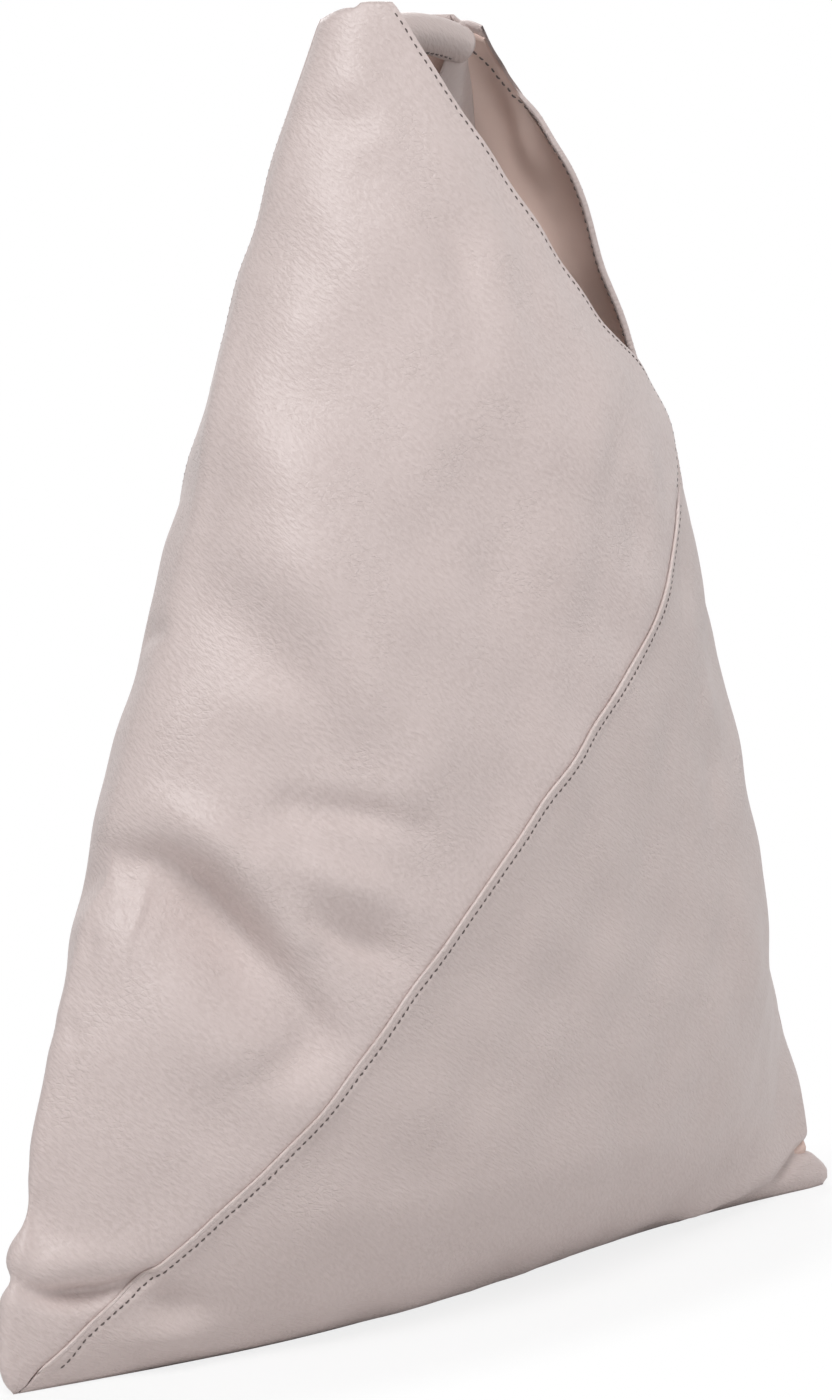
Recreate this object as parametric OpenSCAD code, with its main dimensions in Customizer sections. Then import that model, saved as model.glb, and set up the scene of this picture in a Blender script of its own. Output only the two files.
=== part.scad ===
// Folded triangle tote of soft leather, stuffed and standing on its base.
// Millimetres, +Z up, +X to the right, the front mouth faces -Y.
// The origin is on the floor, under the middle of the base.
// The back half is the front half turned by 180 degrees about the vertical middle line.

/* [Body] */
// Height of the two peaks over the floor
body_h = 497; // [480:1:520]
// Width of the base from corner tip to corner tip
base_w = 440; // [420:1:460]
// Width of the body at the belly, 160 above the floor
belly_w = 360; // [350:1:370]
// Width of the body at the lower corner of the mouth
mouth_w = 238; // [230:1:250]
// Width of the body at the neck, 60 under the peaks
neck_w = 142; // [136:1:148]
// Width of the body at the peaks
peak_w = 86; // [82:1:92]
// Thickness of the stuffed body at the belly
belly_t = 124; // [118:1:132]
// Thickness of the body at the lower corner of the mouth
mouth_t = 132; // [126:1:138]
// Thickness of the body at the neck
neck_t = 74; // [70:1:80]
// Thickness of the body at the peaks
peak_t = 34; // [32:1:38]
// Width of the flat strip that the base rests on
rest_t = 40; // [34:1:44]
// How far the bottom fold bends to the front on the left and to the back on the right
keel_bend = 8; // [4:1:12]

/* [Panels] */
// Thickness of the leather
leather_t = 1.3; // [1:0.1:1.6]
// Thickness of the lining cloth
lining_t = 0.6; // [0.5:0.1:0.8]
// Height of the lower corner of the mouth over the floor
mouth_z = 310; // [300:1:320]
// Place of the lower corner of the mouth, to the right of the middle
mouth_x = 88; // [82:1:92]
// Gap between the edges of two panels at a seam
seam_gap = 0.5; // [0.4:0.1:0.8]

/* [Seams] */
// Diameter of the thin piping in the diagonal seams
piping_d = 1.5; // [1.2:0.1:2]
// Diameter of the sewing thread
thread_d = 0.6; // [0.5:0.1:0.8]
// Distance from the piping to its row of stitches
seam_stitch_inset = 2.8; // [2.4:0.1:4]
// Distance from a mouth edge to its row of stitches
mouth_stitch_inset = 2.4; // [2:0.1:4]

/* [Handle] */
// Outer diameter of the rolled handle
handle_d = 15; // [14:0.5:16]
// Thickness of the leather rolled round the handle
handle_wall = 1.4; // [1:0.1:1.8]
// Radius of the arch that the handle makes
handle_arch_r = 118; // [112:1:124]
// Half of the angle that the arch spans
handle_arch_a = 13.5; // [12:0.5:14]
// Height of the peaks over the top of the handle
handle_drop = 1; // [1:1:5]
// Thickness of the tab that holds each end of the handle
tab_t = 1.2; // [1:0.1:1.4]
// Length of each tab, down from the handle
tab_l = 52; // [44:1:58]

/* [Pocket] */
// Height of the middle of the pocket zip over the floor
pocket_z = 286; // [280:1:290]
// Place of the left end of the pocket on the back wall
pocket_left_x = -44; // [-48:1:-40]
// Length of the pocket and of the facing round its zip
pocket_l = 110; // [104:1:114]
// Height of the facing round the zip
facing_h = 26; // [25:1:28]
// Thickness of the facing
facing_t = 1.2; // [1:0.1:1.4]
// Length of the slot in the facing
slot_l = 96; // [90:1:98]
// Height of the slot in the facing
slot_h = 10.4; // [10:0.1:11.2]
// Depth of the pocket bag under the middle of the zip
bag_h = 108; // [90:1:120]
// Thickness of the pocket bag when it is empty
bag_t = 4.5; // [4.3:0.1:5]
// Pitch of the zip teeth
tooth_pitch = 2.5; // [2.2:0.1:3]
// Length of the zip slider
slider_l = 9; // [8:0.5:10]
// Diameter of the pin that the puller turns on
puller_pin_d = 1.2; // [1:0.1:1.4]
// Length of the zip puller
puller_l = 20; // [16:1:22]

/* [Hidden] */

// Clearance between pieces that lie on each other
clear = 0.3;

// The layers of the wall, as distances from the core surface inside it
lining_in = 0.2;
lining_out = lining_in + lining_t;
leather_in = lining_out + clear;
leather_out = leather_in + leather_t;

// Heights where the body's sizes are given
bilge_z = 12;
knee_z = 60;
belly_z = 160;
neck_z = body_h - 60;
bilge_side = 7;
knee_side = 22;
bilge_t = rest_t + 30;
knee_t = belly_t - 6;

width_curve = [
    [0, base_w / 2], [bilge_z, (base_w - bilge_side) / 2], [knee_z, (base_w - knee_side) / 2],
    [belly_z, belly_w / 2], [mouth_z, mouth_w / 2], [neck_z, neck_w / 2], [body_h, peak_w / 2]
];
depth_curve = [
    [0, rest_t / 2], [bilge_z, bilge_t / 2], [knee_z, knee_t / 2],
    [belly_z, belly_t / 2], [mouth_z, mouth_t / 2], [neck_z, neck_t / 2], [body_h, peak_t / 2]
];

// The ears at the base are thin lenses, and the body above them is nearly elliptic
lens_base = 1.6;
lens_top = 0.58;
lens_fade = 70;
edge_soft = 2.5;
keel_fade = 90;
fold_inset = 1.5;
min_stride = 0.05;

// The stuffed body leans a little to the left and to the back
lean_x = -9;
lean_y = 7;
lean_power = 1.5;

// Front diagonal seam, as [height, place to the right of the middle]
seam_start = 4;
seam_curve = [
    [0, -base_w / 2 + seam_start], [42, -170], [89, -119], [146, -69], [201, -17], [240, 28],
    [268, 59], [290, 77], [mouth_z, mouth_x]
];
// Front mouth edge of the front panel, from the mouth corner to the peak
front_edge_curve = [
    [mouth_z, mouth_x], [mouth_z + 10, 94], [mouth_z + 25, 93], [mouth_z + 40, 86],
    [mouth_z + 53, 72], [mouth_z + 68, 49], [mouth_z + 98, 22], [mouth_z + 127, 2],
    [mouth_z + 165, -19], [body_h, -28]
];
// Front mouth edge of the back panel, as [height, angle round the body from the right]
side_edge_curve = [
    [mouth_z, acos(mouth_x / (mouth_w / 2))], [mouth_z + 12, 32], [mouth_z + 22, 28],
    [mouth_z + 42, 24], [mouth_z + 95, 21], [neck_z, 23], [body_h, 30]
];

// Smooth curve through [position, value] points
function span_at(p, s, i = 0) =
    (i >= len(p) - 2 || s < p[i + 1][0]) ? i : span_at(p, s, i + 1);
function rise(p, i) = (p[i + 1][1] - p[i][1]) / (p[i + 1][0] - p[i][0]);
function slope(p, i) =
    i == 0 ? rise(p, 0)
    : i == len(p) - 1 ? rise(p, i - 1)
    : rise(p, i - 1) * rise(p, i) <= 0 ? 0
    : 2 * rise(p, i - 1) * rise(p, i) / (rise(p, i - 1) + rise(p, i));
function curve(p, s) =
    let (
        c = min(max(s, p[0][0]), p[len(p) - 1][0]),
        i = span_at(p, c),
        h = p[i + 1][0] - p[i][0],
        t = (c - p[i][0]) / h
    )
    (1 + 2 * t) * (1 - t) * (1 - t) * p[i][1]
    + t * (1 - t) * (1 - t) * h * slope(p, i)
    + t * t * (3 - 2 * t) * p[i + 1][1]
    - t * t * (1 - t) * h * slope(p, i + 1);

function unit(v) = v / max(norm(v), 0.000001);

// Angles run from the right side, over the front and the left side, to the back
function half_w(z) = curve(width_curve, z) - leather_out;
function half_t(z) = curve(depth_curve, z) - leather_out;
function lens(z) = lens_top + (lens_base - lens_top) * exp(-max(z, 0) / lens_fade);
function keel_y(x, z) =
    keel_bend * sin(360 * min(max(x / base_w, -0.5), 0.5)) * exp(-max(z, 0) / keel_fade);
function lean(z) = pow(max(z, 0) / body_h, lean_power);

// A point of the core surface inside the wall, at an angle and a height.
// half is 1 for the front half, and -1 for the same half turned to the back.
function core(half, a, z) =
    let (
        x = half_w(z) * cos(a),
        s = sin(a),
        y = sign(s) * lens_y(s, z)
    )
    [
        half * x + lean_x * lean(z),
        half * (keel_y(x, z) - y) + lean_y * lean(z),
        max(z, 0) + leather_out * exp(-max(z, 0) / bilge_z) * (1 - max(z, 0) / body_h)
    ];
function lens_y(s, z) = half_t(z) * pow(abs(s), 2 * lens(z)) + edge_soft * abs(s);
// Outward direction of the core surface
function outward(half, a, z) =
    z <= 0 ? [0, 0, -1]
    : unit(cross(
        core(half, a, z + 0.5) - core(half, a, z - 0.5),
        core(half, a + 0.5, z) - core(half, a - 0.5, z)
    ));
// A point of the bottom fold, where the two halves meet under the base
function fold_point(half, a, r) =
    let (
        x = (half_w(0) - fold_inset) * cos(a),
        y = keel_y(x, 0) - sign(sin(a)) * min(seam_gap / 2, lens_y(sin(a), 0) / 2)
    )
    [half * x, half * y, leather_out - r];
// A point at a distance outside the core. A height under 0 means the bottom fold.
function skin(half, a, z, r) =
    z < 0 ? fold_point(half, a, r) : core(half, a, z) + r * outward(half, a, z);
// Millimetres for each degree round the body
function stride(a, z) = max(norm(core(1, a + 0.5, z) - core(1, a - 0.5, z)), min_stride);

// Edges of the front half, as angles at a height
function angle_of(x, z) = acos(min(max(x / curve(width_curve, z), -1), 1));
function seam_angle(z) = angle_of(curve(seam_curve, z), z);
function first_edge(z) =
    z <= mouth_z ? seam_angle(z) : angle_of(curve(front_edge_curve, z), z);
function last_edge(z) = 180 + (z <= mouth_z ? seam_angle(z) : curve(side_edge_curve, z));

// Heights of the rows of the panels, closer where the body bends more
fold_row = -1;
panel_rows = concat(
    [fold_row, 0, 3, 8, 15, 26, 42, 62, 88, 118, 150, 184, 218, 250, 282],
    [for (up = [0, 12, 26, 40, 53, 68, 98, 127, 160]) mouth_z + up],
    [body_h]
);
front_cols = 16;
back_cols = 18;
crowding = 1.5;

// Angle of a column of a half: the columns crowd at its side fold
function column_angle(i, z, inset) =
    let (
        first = first_edge(z) + inset / stride(first_edge(z), z),
        last = last_edge(z) - inset / stride(last_edge(z), z)
    )
    i <= front_cols
    ? 180 - (180 - first) * pow(1 - i / front_cols, crowding)
    : 180 + (last - 180) * pow((i - front_cols) / back_cols, crowding);

// Two triangles of the quadrangle with these corners
function two(a, b, c, d) = [[a, b, c], [a, c, d]];

// A closed sheet over a grid of [angle, height] rows, between two distances from the core
module sheet(half, grid, r_in, r_out) {
    m = len(grid);
    n = len(grid[0]);
    points = [for (r = [r_out, r_in], row = grid, p = row) skin(half, p[0], p[1], r)];
    function at(layer, j, i) = (layer * m + j) * n + i;
    quads = concat(
        [for (j = [0 : m - 2], i = [0 : n - 2])
            two(at(0, j, i), at(0, j, i + 1), at(0, j + 1, i + 1), at(0, j + 1, i))],
        [for (j = [0 : m - 2], i = [0 : n - 2])
            two(at(1, j, i), at(1, j + 1, i), at(1, j + 1, i + 1), at(1, j, i + 1))],
        [for (j = [0 : m - 2]) two(at(0, j, 0), at(0, j + 1, 0), at(1, j + 1, 0), at(1, j, 0))],
        [for (j = [0 : m - 2])
            two(at(0, j, n - 1), at(1, j, n - 1), at(1, j + 1, n - 1), at(0, j + 1, n - 1))],
        [for (i = [0 : n - 2]) two(at(0, 0, i), at(1, 0, i), at(1, 0, i + 1), at(0, 0, i + 1))],
        [for (i = [0 : n - 2])
            two(at(0, m - 1, i), at(0, m - 1, i + 1), at(1, m - 1, i + 1), at(1, m - 1, i))]
    );
    polyhedron(points, [for (pair = quads, face = pair) face]);
}

// One panel of a half, with its mouth edges and its peak drawn in by an inset
module panel(half, r_in, r_out, mouth_inset = 0, peak_inset = 0) {
    sheet(half, [
        for (row = panel_rows)
        let (
            z = row == body_h ? row - peak_inset : row,
            inset = seam_gap / 2 + (z > mouth_z ? mouth_inset : 0)
        )
        [for (i = [0 : front_cols + back_cols]) [column_angle(i, z, inset), z]]
    ], r_in, r_out);
}

// A round cord laid on the body along [angle, height] points, at a distance from the core
module laid_cord(half, path, d, r, sides) {
    n = len(path);
    middle = [for (p = path) skin(half, p[0], p[1], r)];
    points = concat(
        [for (k = [0 : n - 1])
            let (
                along = unit(middle[min(k + 1, n - 1)] - middle[max(k - 1, 0)]),
                side = unit(cross(along, outward(half, path[k][0], path[k][1]))),
                up = cross(side, along)
            )
            for (s = [0 : sides - 1])
                middle[k] + d / 2 * (cos(360 * s / sides) * up + sin(360 * s / sides) * side)],
        [middle[0], middle[n - 1]]
    );
    first_cap = n * sides;
    faces = concat(
        [for (k = [0 : n - 2], s = [0 : sides - 1])
            let (t = (s + 1) % sides)
            each two(k * sides + s, (k + 1) * sides + s, (k + 1) * sides + t, k * sides + t)],
        [for (s = [0 : sides - 1]) [first_cap, s, (s + 1) % sides]],
        [for (s = [0 : sides - 1])
            [first_cap + 1, (n - 1) * sides + (s + 1) % sides, (n - 1) * sides + s]]
    );
    polyhedron(points, faces);
}

seam_rows = 38;
hem_rows = 22;
piping_sides = 8;
thread_sides = 6;
seam_low = 9;
seam_high = mouth_z - 5;
hem_high = body_h - 5;
on_leather = leather_out + clear;

// Places along a diagonal seam, moved down from it by a distance
function seam_path(down) = [
    for (k = [0 : seam_rows])
    let (z = seam_low + (seam_high - seam_low) * k / seam_rows, a = seam_angle(z))
    [a - down / stride(a, z), z]
];
// Places along a mouth edge of a half, moved in from the edge by a distance
function hem_path(inset, first) = [
    for (k = [0 : hem_rows])
    let (
        z = mouth_z + (hem_high - mouth_z) * k / hem_rows,
        a = first ? first_edge(z) : last_edge(z)
    )
    [a + (first ? 1 : -1) * inset / stride(a, z), z]
];

module seam_piping(half) {
    color("#e6dad6")
    laid_cord(half, seam_path(0), piping_d, on_leather + piping_d / 2, piping_sides);
}
module seam_stitches(half) {
    color("#8f7f7a")
    laid_cord(half, seam_path(seam_stitch_inset), thread_d, on_leather + thread_d / 2, thread_sides);
}
module hem_stitches(half, first) {
    color("#8f7f7a")
    laid_cord(
        half, hem_path(mouth_stitch_inset, first), thread_d, on_leather + thread_d / 2, thread_sides
    );
}

module front_panel() {
    color("#cdbdb9") panel(1, leather_in, leather_out);
}
module back_panel() {
    color("#c4b4b0") panel(-1, leather_in, leather_out);
}
module front_seam_piping() {
    seam_piping(1);
}
module back_seam_piping() {
    seam_piping(-1);
}
module front_seam_stitches() {
    seam_stitches(1);
}
module back_seam_stitches() {
    seam_stitches(-1);
}
module front_panel_front_hem_stitches() {
    hem_stitches(1, true);
}
module front_panel_back_hem_stitches() {
    hem_stitches(1, false);
}
module back_panel_front_hem_stitches() {
    hem_stitches(-1, false);
}
module back_panel_back_hem_stitches() {
    hem_stitches(-1, true);
}

// The lining stops a little inside the mouth edges of the leather
lining_inset = 1.5;
lining_drop = 4;
module front_lining() {
    color("#a08c84") panel(1, lining_in, lining_out, lining_inset, lining_drop);
}
module back_lining() {
    color("#98857d") panel(-1, lining_in, lining_out, lining_inset, lining_drop);
}

// The rolled handle is an arch from the inside of one peak to the inside of the other.
// It is turned a little, so that each end lies on its tab.
handle_top = body_h - handle_drop;
arch_z = handle_top - handle_d / 2 - handle_arch_r;
arch_lean = lean(handle_top);
end_z = arch_z + handle_arch_r * cos(handle_arch_a);
end_reach = handle_arch_r * sin(handle_arch_a);
end_wall = lens_y(sqrt(1 - pow(end_reach / half_w(end_z), 2)), end_z);
seat_slope = 1.7;
tab_seat = 0.7;
end_seat = end_wall - tab_seat - tab_t - clear - handle_d / 2 - seat_slope;
handle_turn = atan(end_seat / end_reach);

module arch(r, d, more = 0) {
    translate([lean_x * arch_lean, lean_y * arch_lean, arch_z])
    rotate([0, 0, handle_turn])
    rotate([90, 0, 0])
    rotate([0, 0, 90 - handle_arch_a - more])
    rotate_extrude(angle = 2 * (handle_arch_a + more), $fn = 64)
    translate([r, 0])
    circle(d = d, $fn = 32);
}
module handle_sleeve() {
    color("#cbbcb7")
    difference() {
        arch(handle_arch_r, handle_d);
        arch(handle_arch_r, handle_d - 2 * handle_wall, 1);
    }
}
module handle_core() {
    color("#e8e4de") arch(handle_arch_r, handle_d - 2 * handle_wall - 2 * clear);
}
module handle_stitches() {
    color("#8f7f7a")
    arch(handle_arch_r - handle_d / 2 - clear - thread_d / 2, thread_d);
}

// Each tab hangs from an end of the handle and narrows down to a point on the lining
tab_rows = 6;
tab_cols = 4;
tab_rise = 8;
tab_top = end_z + tab_rise;
tab_half_w = 9;
tab_tip_w = 2;
tab_drift = 8;
tab_side_gap = 1;
function tab_angle(x, z) = acos(x / half_w(z));
tab_grid = [
    for (j = [0 : tab_rows])
    let (
        down = 1 - j / tab_rows,
        z = tab_top - tab_l * down,
        x = tab_drift * down - end_reach,
        taper = tab_half_w + (tab_tip_w - tab_half_w) * down,
        w = min(taper, half_w(z) + x - tab_side_gap)
    )
    [for (i = [0 : tab_cols]) tab_angle(x + w * (1 - 2 * i / tab_cols), z)]
];
module handle_tab(half) {
    color("#cbbcb7")
    sheet(half, [
        for (j = [0 : tab_rows])
        let (z = tab_top - tab_l * (1 - j / tab_rows))
        [for (a = tab_grid[j]) [a, z]]
    ], -tab_seat - tab_t, -tab_seat);
}
module left_handle_tab() {
    handle_tab(1);
}
module right_handle_tab() {
    handle_tab(-1);
}

// The pocket hangs on the back wall, in a plane that clears the lining at its four corners.
// Its bag is sewn on a little inside the edges of the facing.
bag_edge = 1;
bag_side = 2;
bag_top = facing_h / 2 - bag_edge;
function back_wall(x, z) = core(1, 360 - acos(x / half_w(z)), z);
pocket_right_x = pocket_left_x + pocket_l;
upper_left = back_wall(pocket_left_x, pocket_z + bag_top);
upper_right = back_wall(pocket_right_x, pocket_z + bag_top);
lower_left = back_wall(pocket_left_x, pocket_z - bag_h);
lower_right = back_wall(pocket_right_x, pocket_z - bag_h);
upper_y = (upper_left[1] + upper_right[1]) / 2;
lower_y = (lower_left[1] + lower_right[1]) / 2;
pocket_tilt = atan2(upper_y - lower_y, bag_top + bag_h);
pocket_turn = atan2(upper_right[1] - upper_left[1], upper_right[0] - upper_left[0]);
pocket_seat = 1.9;
pocket_x = (upper_left[0] + upper_right[0]) / 2;
pocket_y = upper_y - bag_top * tan(pocket_tilt) - pocket_seat;

// In the pocket's own axes X runs along the zip, Y points at the wall and Z points up
module on_pocket() {
    translate([pocket_x, pocket_y, pocket_z])
    rotate([0, 0, pocket_turn])
    rotate([-pocket_tilt, 0, 0])
    children();
}
// A block between two corners
module block(low, high) {
    translate(low) cube(high - low);
}
// A plate in the plane of the pocket with round corners, between two depths
module plate(x0, x1, z0, z1, y0, y1, r) {
    translate([0, y1, 0])
    rotate([90, 0, 0])
    linear_extrude(y1 - y0)
    hull()
    for (x = [x0 + r, x1 - r], z = [z0 + r, z1 - r])
        translate([x, z]) circle(r, $fn = 24);
}

cloth_t = 0.6;
tape_t = 0.5;
tape_h = 8;
teeth_t = 2;
corner_r = 4;
slot_r = 2;
bag_front = -bag_t;
tape_front = bag_front - clear - tape_t;
facing_back = tape_front - clear;
facing_front = facing_back - facing_t;
zip_y = (tape_front + bag_front - clear) / 2;
teeth_front = zip_y - teeth_t / 2;
teeth_back = zip_y + teeth_t / 2;
bag_l = pocket_l - 2 * bag_side;
bag_slot_edge = 0.5;
bag_slot_h = slot_h + 2 * bag_slot_edge;
// How far a cut runs past the face that it opens
past = 1;

module pocket_bag() {
    color("#b5a39b")
    on_pocket()
    difference() {
        plate(-bag_l / 2, bag_l / 2, -bag_h, bag_top, bag_front, 0, corner_r);
        plate(
            cloth_t - bag_l / 2, bag_l / 2 - cloth_t, cloth_t - bag_h, bag_top - cloth_t,
            bag_front + cloth_t, -cloth_t, corner_r - cloth_t
        );
        plate(
            -slot_l / 2, slot_l / 2, -bag_slot_h / 2, bag_slot_h / 2,
            bag_front - past, bag_front + cloth_t + past, slot_r
        );
    }
}
module pocket_facing() {
    color("#b9a8a2")
    on_pocket()
    difference() {
        plate(
            -pocket_l / 2, pocket_l / 2, -facing_h / 2, facing_h / 2,
            facing_front, facing_back, corner_r
        );
        plate(
            -slot_l / 2, slot_l / 2, -slot_h / 2, slot_h / 2,
            facing_front - past, facing_back + past, slot_r
        );
    }
}

// Each half of the zip has a tape, and a bead that carries its teeth
end_room = 4;
teeth_l = slot_l - 2 * end_room;
half_gap = 0.6;
tooth_h = 1.4;
tooth_root = 0.2;
bead_h = 0.6;
bead_t = 1;
tooth_l = 1.3;
bead_low = half_gap + tooth_h;
tape_low = bead_low + bead_h + clear;
module zip_tape(side) {
    color("#a8958d")
    on_pocket()
    mirror([0, 0, side < 0 ? 1 : 0])
    block(
        [-bag_l / 2, tape_front, tape_low],
        [bag_l / 2, bag_front - clear, tape_low + tape_h]
    );
}
module zip_teeth(side) {
    count = floor((teeth_l - tooth_l) / tooth_pitch);
    color("#c9a66a")
    on_pocket()
    mirror([0, 0, side < 0 ? 1 : 0])
    union() {
        block(
            [-teeth_l / 2, zip_y - bead_t / 2, bead_low],
            [teeth_l / 2, zip_y + bead_t / 2, bead_low + bead_h]
        );
        for (k = [0 : count]) {
            x = (k - count / 2) * tooth_pitch;
            block(
                [x - tooth_l / 2, teeth_front, half_gap],
                [x + tooth_l / 2, teeth_back, bead_low + tooth_root]
            );
        }
    }
}
module zip_tape_upper() {
    zip_tape(1);
}
module zip_tape_lower() {
    zip_tape(-1);
}
module zip_teeth_upper() {
    zip_teeth(1);
}
module zip_teeth_lower() {
    zip_teeth(-1);
}

stop_l = 2;
stop_h = bead_low + bead_h;
module zip_end_stops() {
    color("#c9a66a")
    on_pocket()
    for (side = [-1, 1])
        translate([side * (teeth_l / 2 + clear + stop_l / 2), 0, 0])
        block([-stop_l / 2, teeth_front, -stop_h], [stop_l / 2, teeth_back, stop_h]);
}

// The slider is two plates over and under the teeth, joined by a post between the rows
slider_t = 1.2;
slider_back_t = 0.9;
slider_edge = 0.8;
slider_back_edge = 1.4;
slider_r = 1.5;
slider_h = slot_h - 2 * slider_edge;
slider_back_h = slot_h - 2 * slider_back_edge;
slider_front = teeth_front - clear - slider_t;
slider_back = teeth_back + clear + slider_back_t;
post_l = 1.8;
post_h = 2 * (half_gap - clear);
post_x = 1 - slider_l / 2;
pin_clear = 0.15;
barrel_wall = 0.7;
barrel_d = puller_pin_d + 2 * pin_clear + 2 * barrel_wall;
pin_y = slider_front - clear - barrel_d / 2;
cheek_in = 1.9;
cheek_t = 0.7;
cheek_l = barrel_d;
slider_x = -(teeth_l / 2 - slider_l / 2 - clear);
module zip_slider() {
    color("#c9a66a")
    on_pocket()
    translate([slider_x, 0, 0])
    union() {
        plate(
            -slider_l / 2, slider_l / 2, -slider_h / 2, slider_h / 2,
            slider_front, slider_front + slider_t, slider_r
        );
        plate(
            -slider_l / 2, slider_l / 2, -slider_back_h / 2, slider_back_h / 2,
            teeth_back + clear, slider_back, slider_r
        );
        block(
            [post_x, slider_front + slider_t / 2, -post_h / 2],
            [post_x + post_l, slider_back - slider_back_t / 2, post_h / 2]
        );
        for (side = [-1, 1])
            translate([0, 0, side * (cheek_in + cheek_t / 2)])
            translate([0, 0, -cheek_t / 2]) {
                block([-cheek_l / 2, pin_y, 0], [cheek_l / 2, slider_front + slider_t / 2, cheek_t]);
                translate([0, pin_y, 0]) cylinder(d = cheek_l, h = cheek_t, $fn = 32);
            }
        translate([0, pin_y, -cheek_in - cheek_t / 2])
        cylinder(d = puller_pin_d, h = 2 * cheek_in + cheek_t, $fn = 32);
    }
}

puller_t = 1;
puller_neck = 4;
puller_w = 6.4;
puller_r = 2;
puller_hole_d = 2.4;
puller_hole_x = puller_l - 4;
barrel_l = 2 * (cheek_in - clear);
module zip_puller() {
    color("#c9a66a")
    on_pocket()
    translate([slider_x, pin_y, 0])
    difference() {
        union() {
            translate([0, 0, -barrel_l / 2]) cylinder(d = barrel_d, h = barrel_l, $fn = 32);
            block([0, -puller_t / 2, -barrel_l / 2], [puller_neck + 1, puller_t / 2, barrel_l / 2]);
            plate(
                puller_neck, puller_l, -puller_w / 2, puller_w / 2,
                -puller_t / 2, puller_t / 2, puller_r
            );
        }
        translate([0, 0, -barrel_l])
        cylinder(d = puller_pin_d + 2 * pin_clear, h = 2 * barrel_l, $fn = 32);
        translate([puller_hole_x, puller_t, 0]) rotate([90, 0, 0])
        cylinder(d = puller_hole_d, h = 2 * puller_t, $fn = 32);
    }
}

front_panel();
back_panel();
front_seam_piping();
back_seam_piping();
front_seam_stitches();
back_seam_stitches();
front_panel_front_hem_stitches();
front_panel_back_hem_stitches();
back_panel_front_hem_stitches();
back_panel_back_hem_stitches();
front_lining();
back_lining();
handle_sleeve();
handle_core();
handle_stitches();
left_handle_tab();
right_handle_tab();
pocket_bag();
pocket_facing();
zip_tape_upper();
zip_tape_lower();
zip_teeth_upper();
zip_teeth_lower();
zip_end_stops();
zip_slider();
zip_puller();
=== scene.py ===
"""Looks of a tall folded triangle tote of soft leather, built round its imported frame.

Everything is in metres, in the frame's own axes: +Z is up, +X is to the right and the front mouth
faces -Y. Two equal leather panels wrap one stuffed form, the second turned by half a turn to the
first. They meet in two diagonal seams and in the fold along the base, and above the seams they
leave the front mouth and the back mouth open.
"""

import logging
import math
from collections.abc import Callable
from dataclasses import dataclass, field
from enum import Enum

import bpy
import numpy as np
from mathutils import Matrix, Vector


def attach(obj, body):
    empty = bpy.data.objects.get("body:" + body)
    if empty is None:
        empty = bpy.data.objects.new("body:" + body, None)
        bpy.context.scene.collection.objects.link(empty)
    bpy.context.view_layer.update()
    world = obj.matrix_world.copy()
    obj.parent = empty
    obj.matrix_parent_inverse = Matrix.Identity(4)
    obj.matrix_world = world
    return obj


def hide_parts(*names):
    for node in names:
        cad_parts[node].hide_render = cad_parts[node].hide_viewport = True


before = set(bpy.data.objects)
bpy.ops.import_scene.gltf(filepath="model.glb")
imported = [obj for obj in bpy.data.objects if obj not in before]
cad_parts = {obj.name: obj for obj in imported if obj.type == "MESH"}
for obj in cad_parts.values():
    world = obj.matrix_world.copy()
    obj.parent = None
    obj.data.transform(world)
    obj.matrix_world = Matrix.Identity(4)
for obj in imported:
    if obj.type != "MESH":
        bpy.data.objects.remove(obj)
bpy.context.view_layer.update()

log = logging.getLogger("tote")

MM = 0.001
HALF_TURN = 180.0

# Steps to both sides of an angle, which together measure a degree
HALF_DEGREE = 0.5

# Keeps a number that is divided by above zero
TINY = 1e-12

# A distance, in metres, that counts as far from every edge
FAR = 1.0

Points = list[tuple[float, float]]
Line = tuple[tuple[float, float], ...]
Faces = list[list[int]]
Triple = tuple[float, float, float]
Color = Triple


def in_mm(points: Points) -> Points:
    """Turns points given in millimetres into metres.

    Args:
        points: pairs of numbers in millimetres.

    Returns:
        The same pairs in metres.
    """
    return [(a * MM, b * MM) for a, b in points]


def smooth_step(value: np.ndarray, low: float, high: float) -> np.ndarray:
    """Rises smoothly from 0 at low to 1 at high.

    Args:
        value: the numbers to map.
        low: where the rise starts.
        high: where the rise ends.

    Returns:
        Numbers from 0 to 1.
    """
    t = np.clip((np.asarray(value, float) - low) / (high - low), 0.0, 1.0)
    return t * t * (3.0 - 2.0 * t)


def bell(value: np.ndarray, middle: float, width: float) -> np.ndarray:
    """A round bump of height 1 at middle.

    Args:
        value: the numbers to map.
        middle: where the bump is highest.
        width: distance from the middle at which the bump has fallen to about a third.

    Returns:
        Numbers from 0 to 1.
    """
    return np.exp(-(((np.asarray(value, float) - middle) / width) ** 2))


def unit(vectors: np.ndarray) -> np.ndarray:
    """Scales vectors to length 1.

    Args:
        vectors: an array whose last axis holds x, y and z.

    Returns:
        The unit vectors.
    """
    return vectors / np.maximum(np.linalg.norm(vectors, axis=-1, keepdims=True), TINY)


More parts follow.
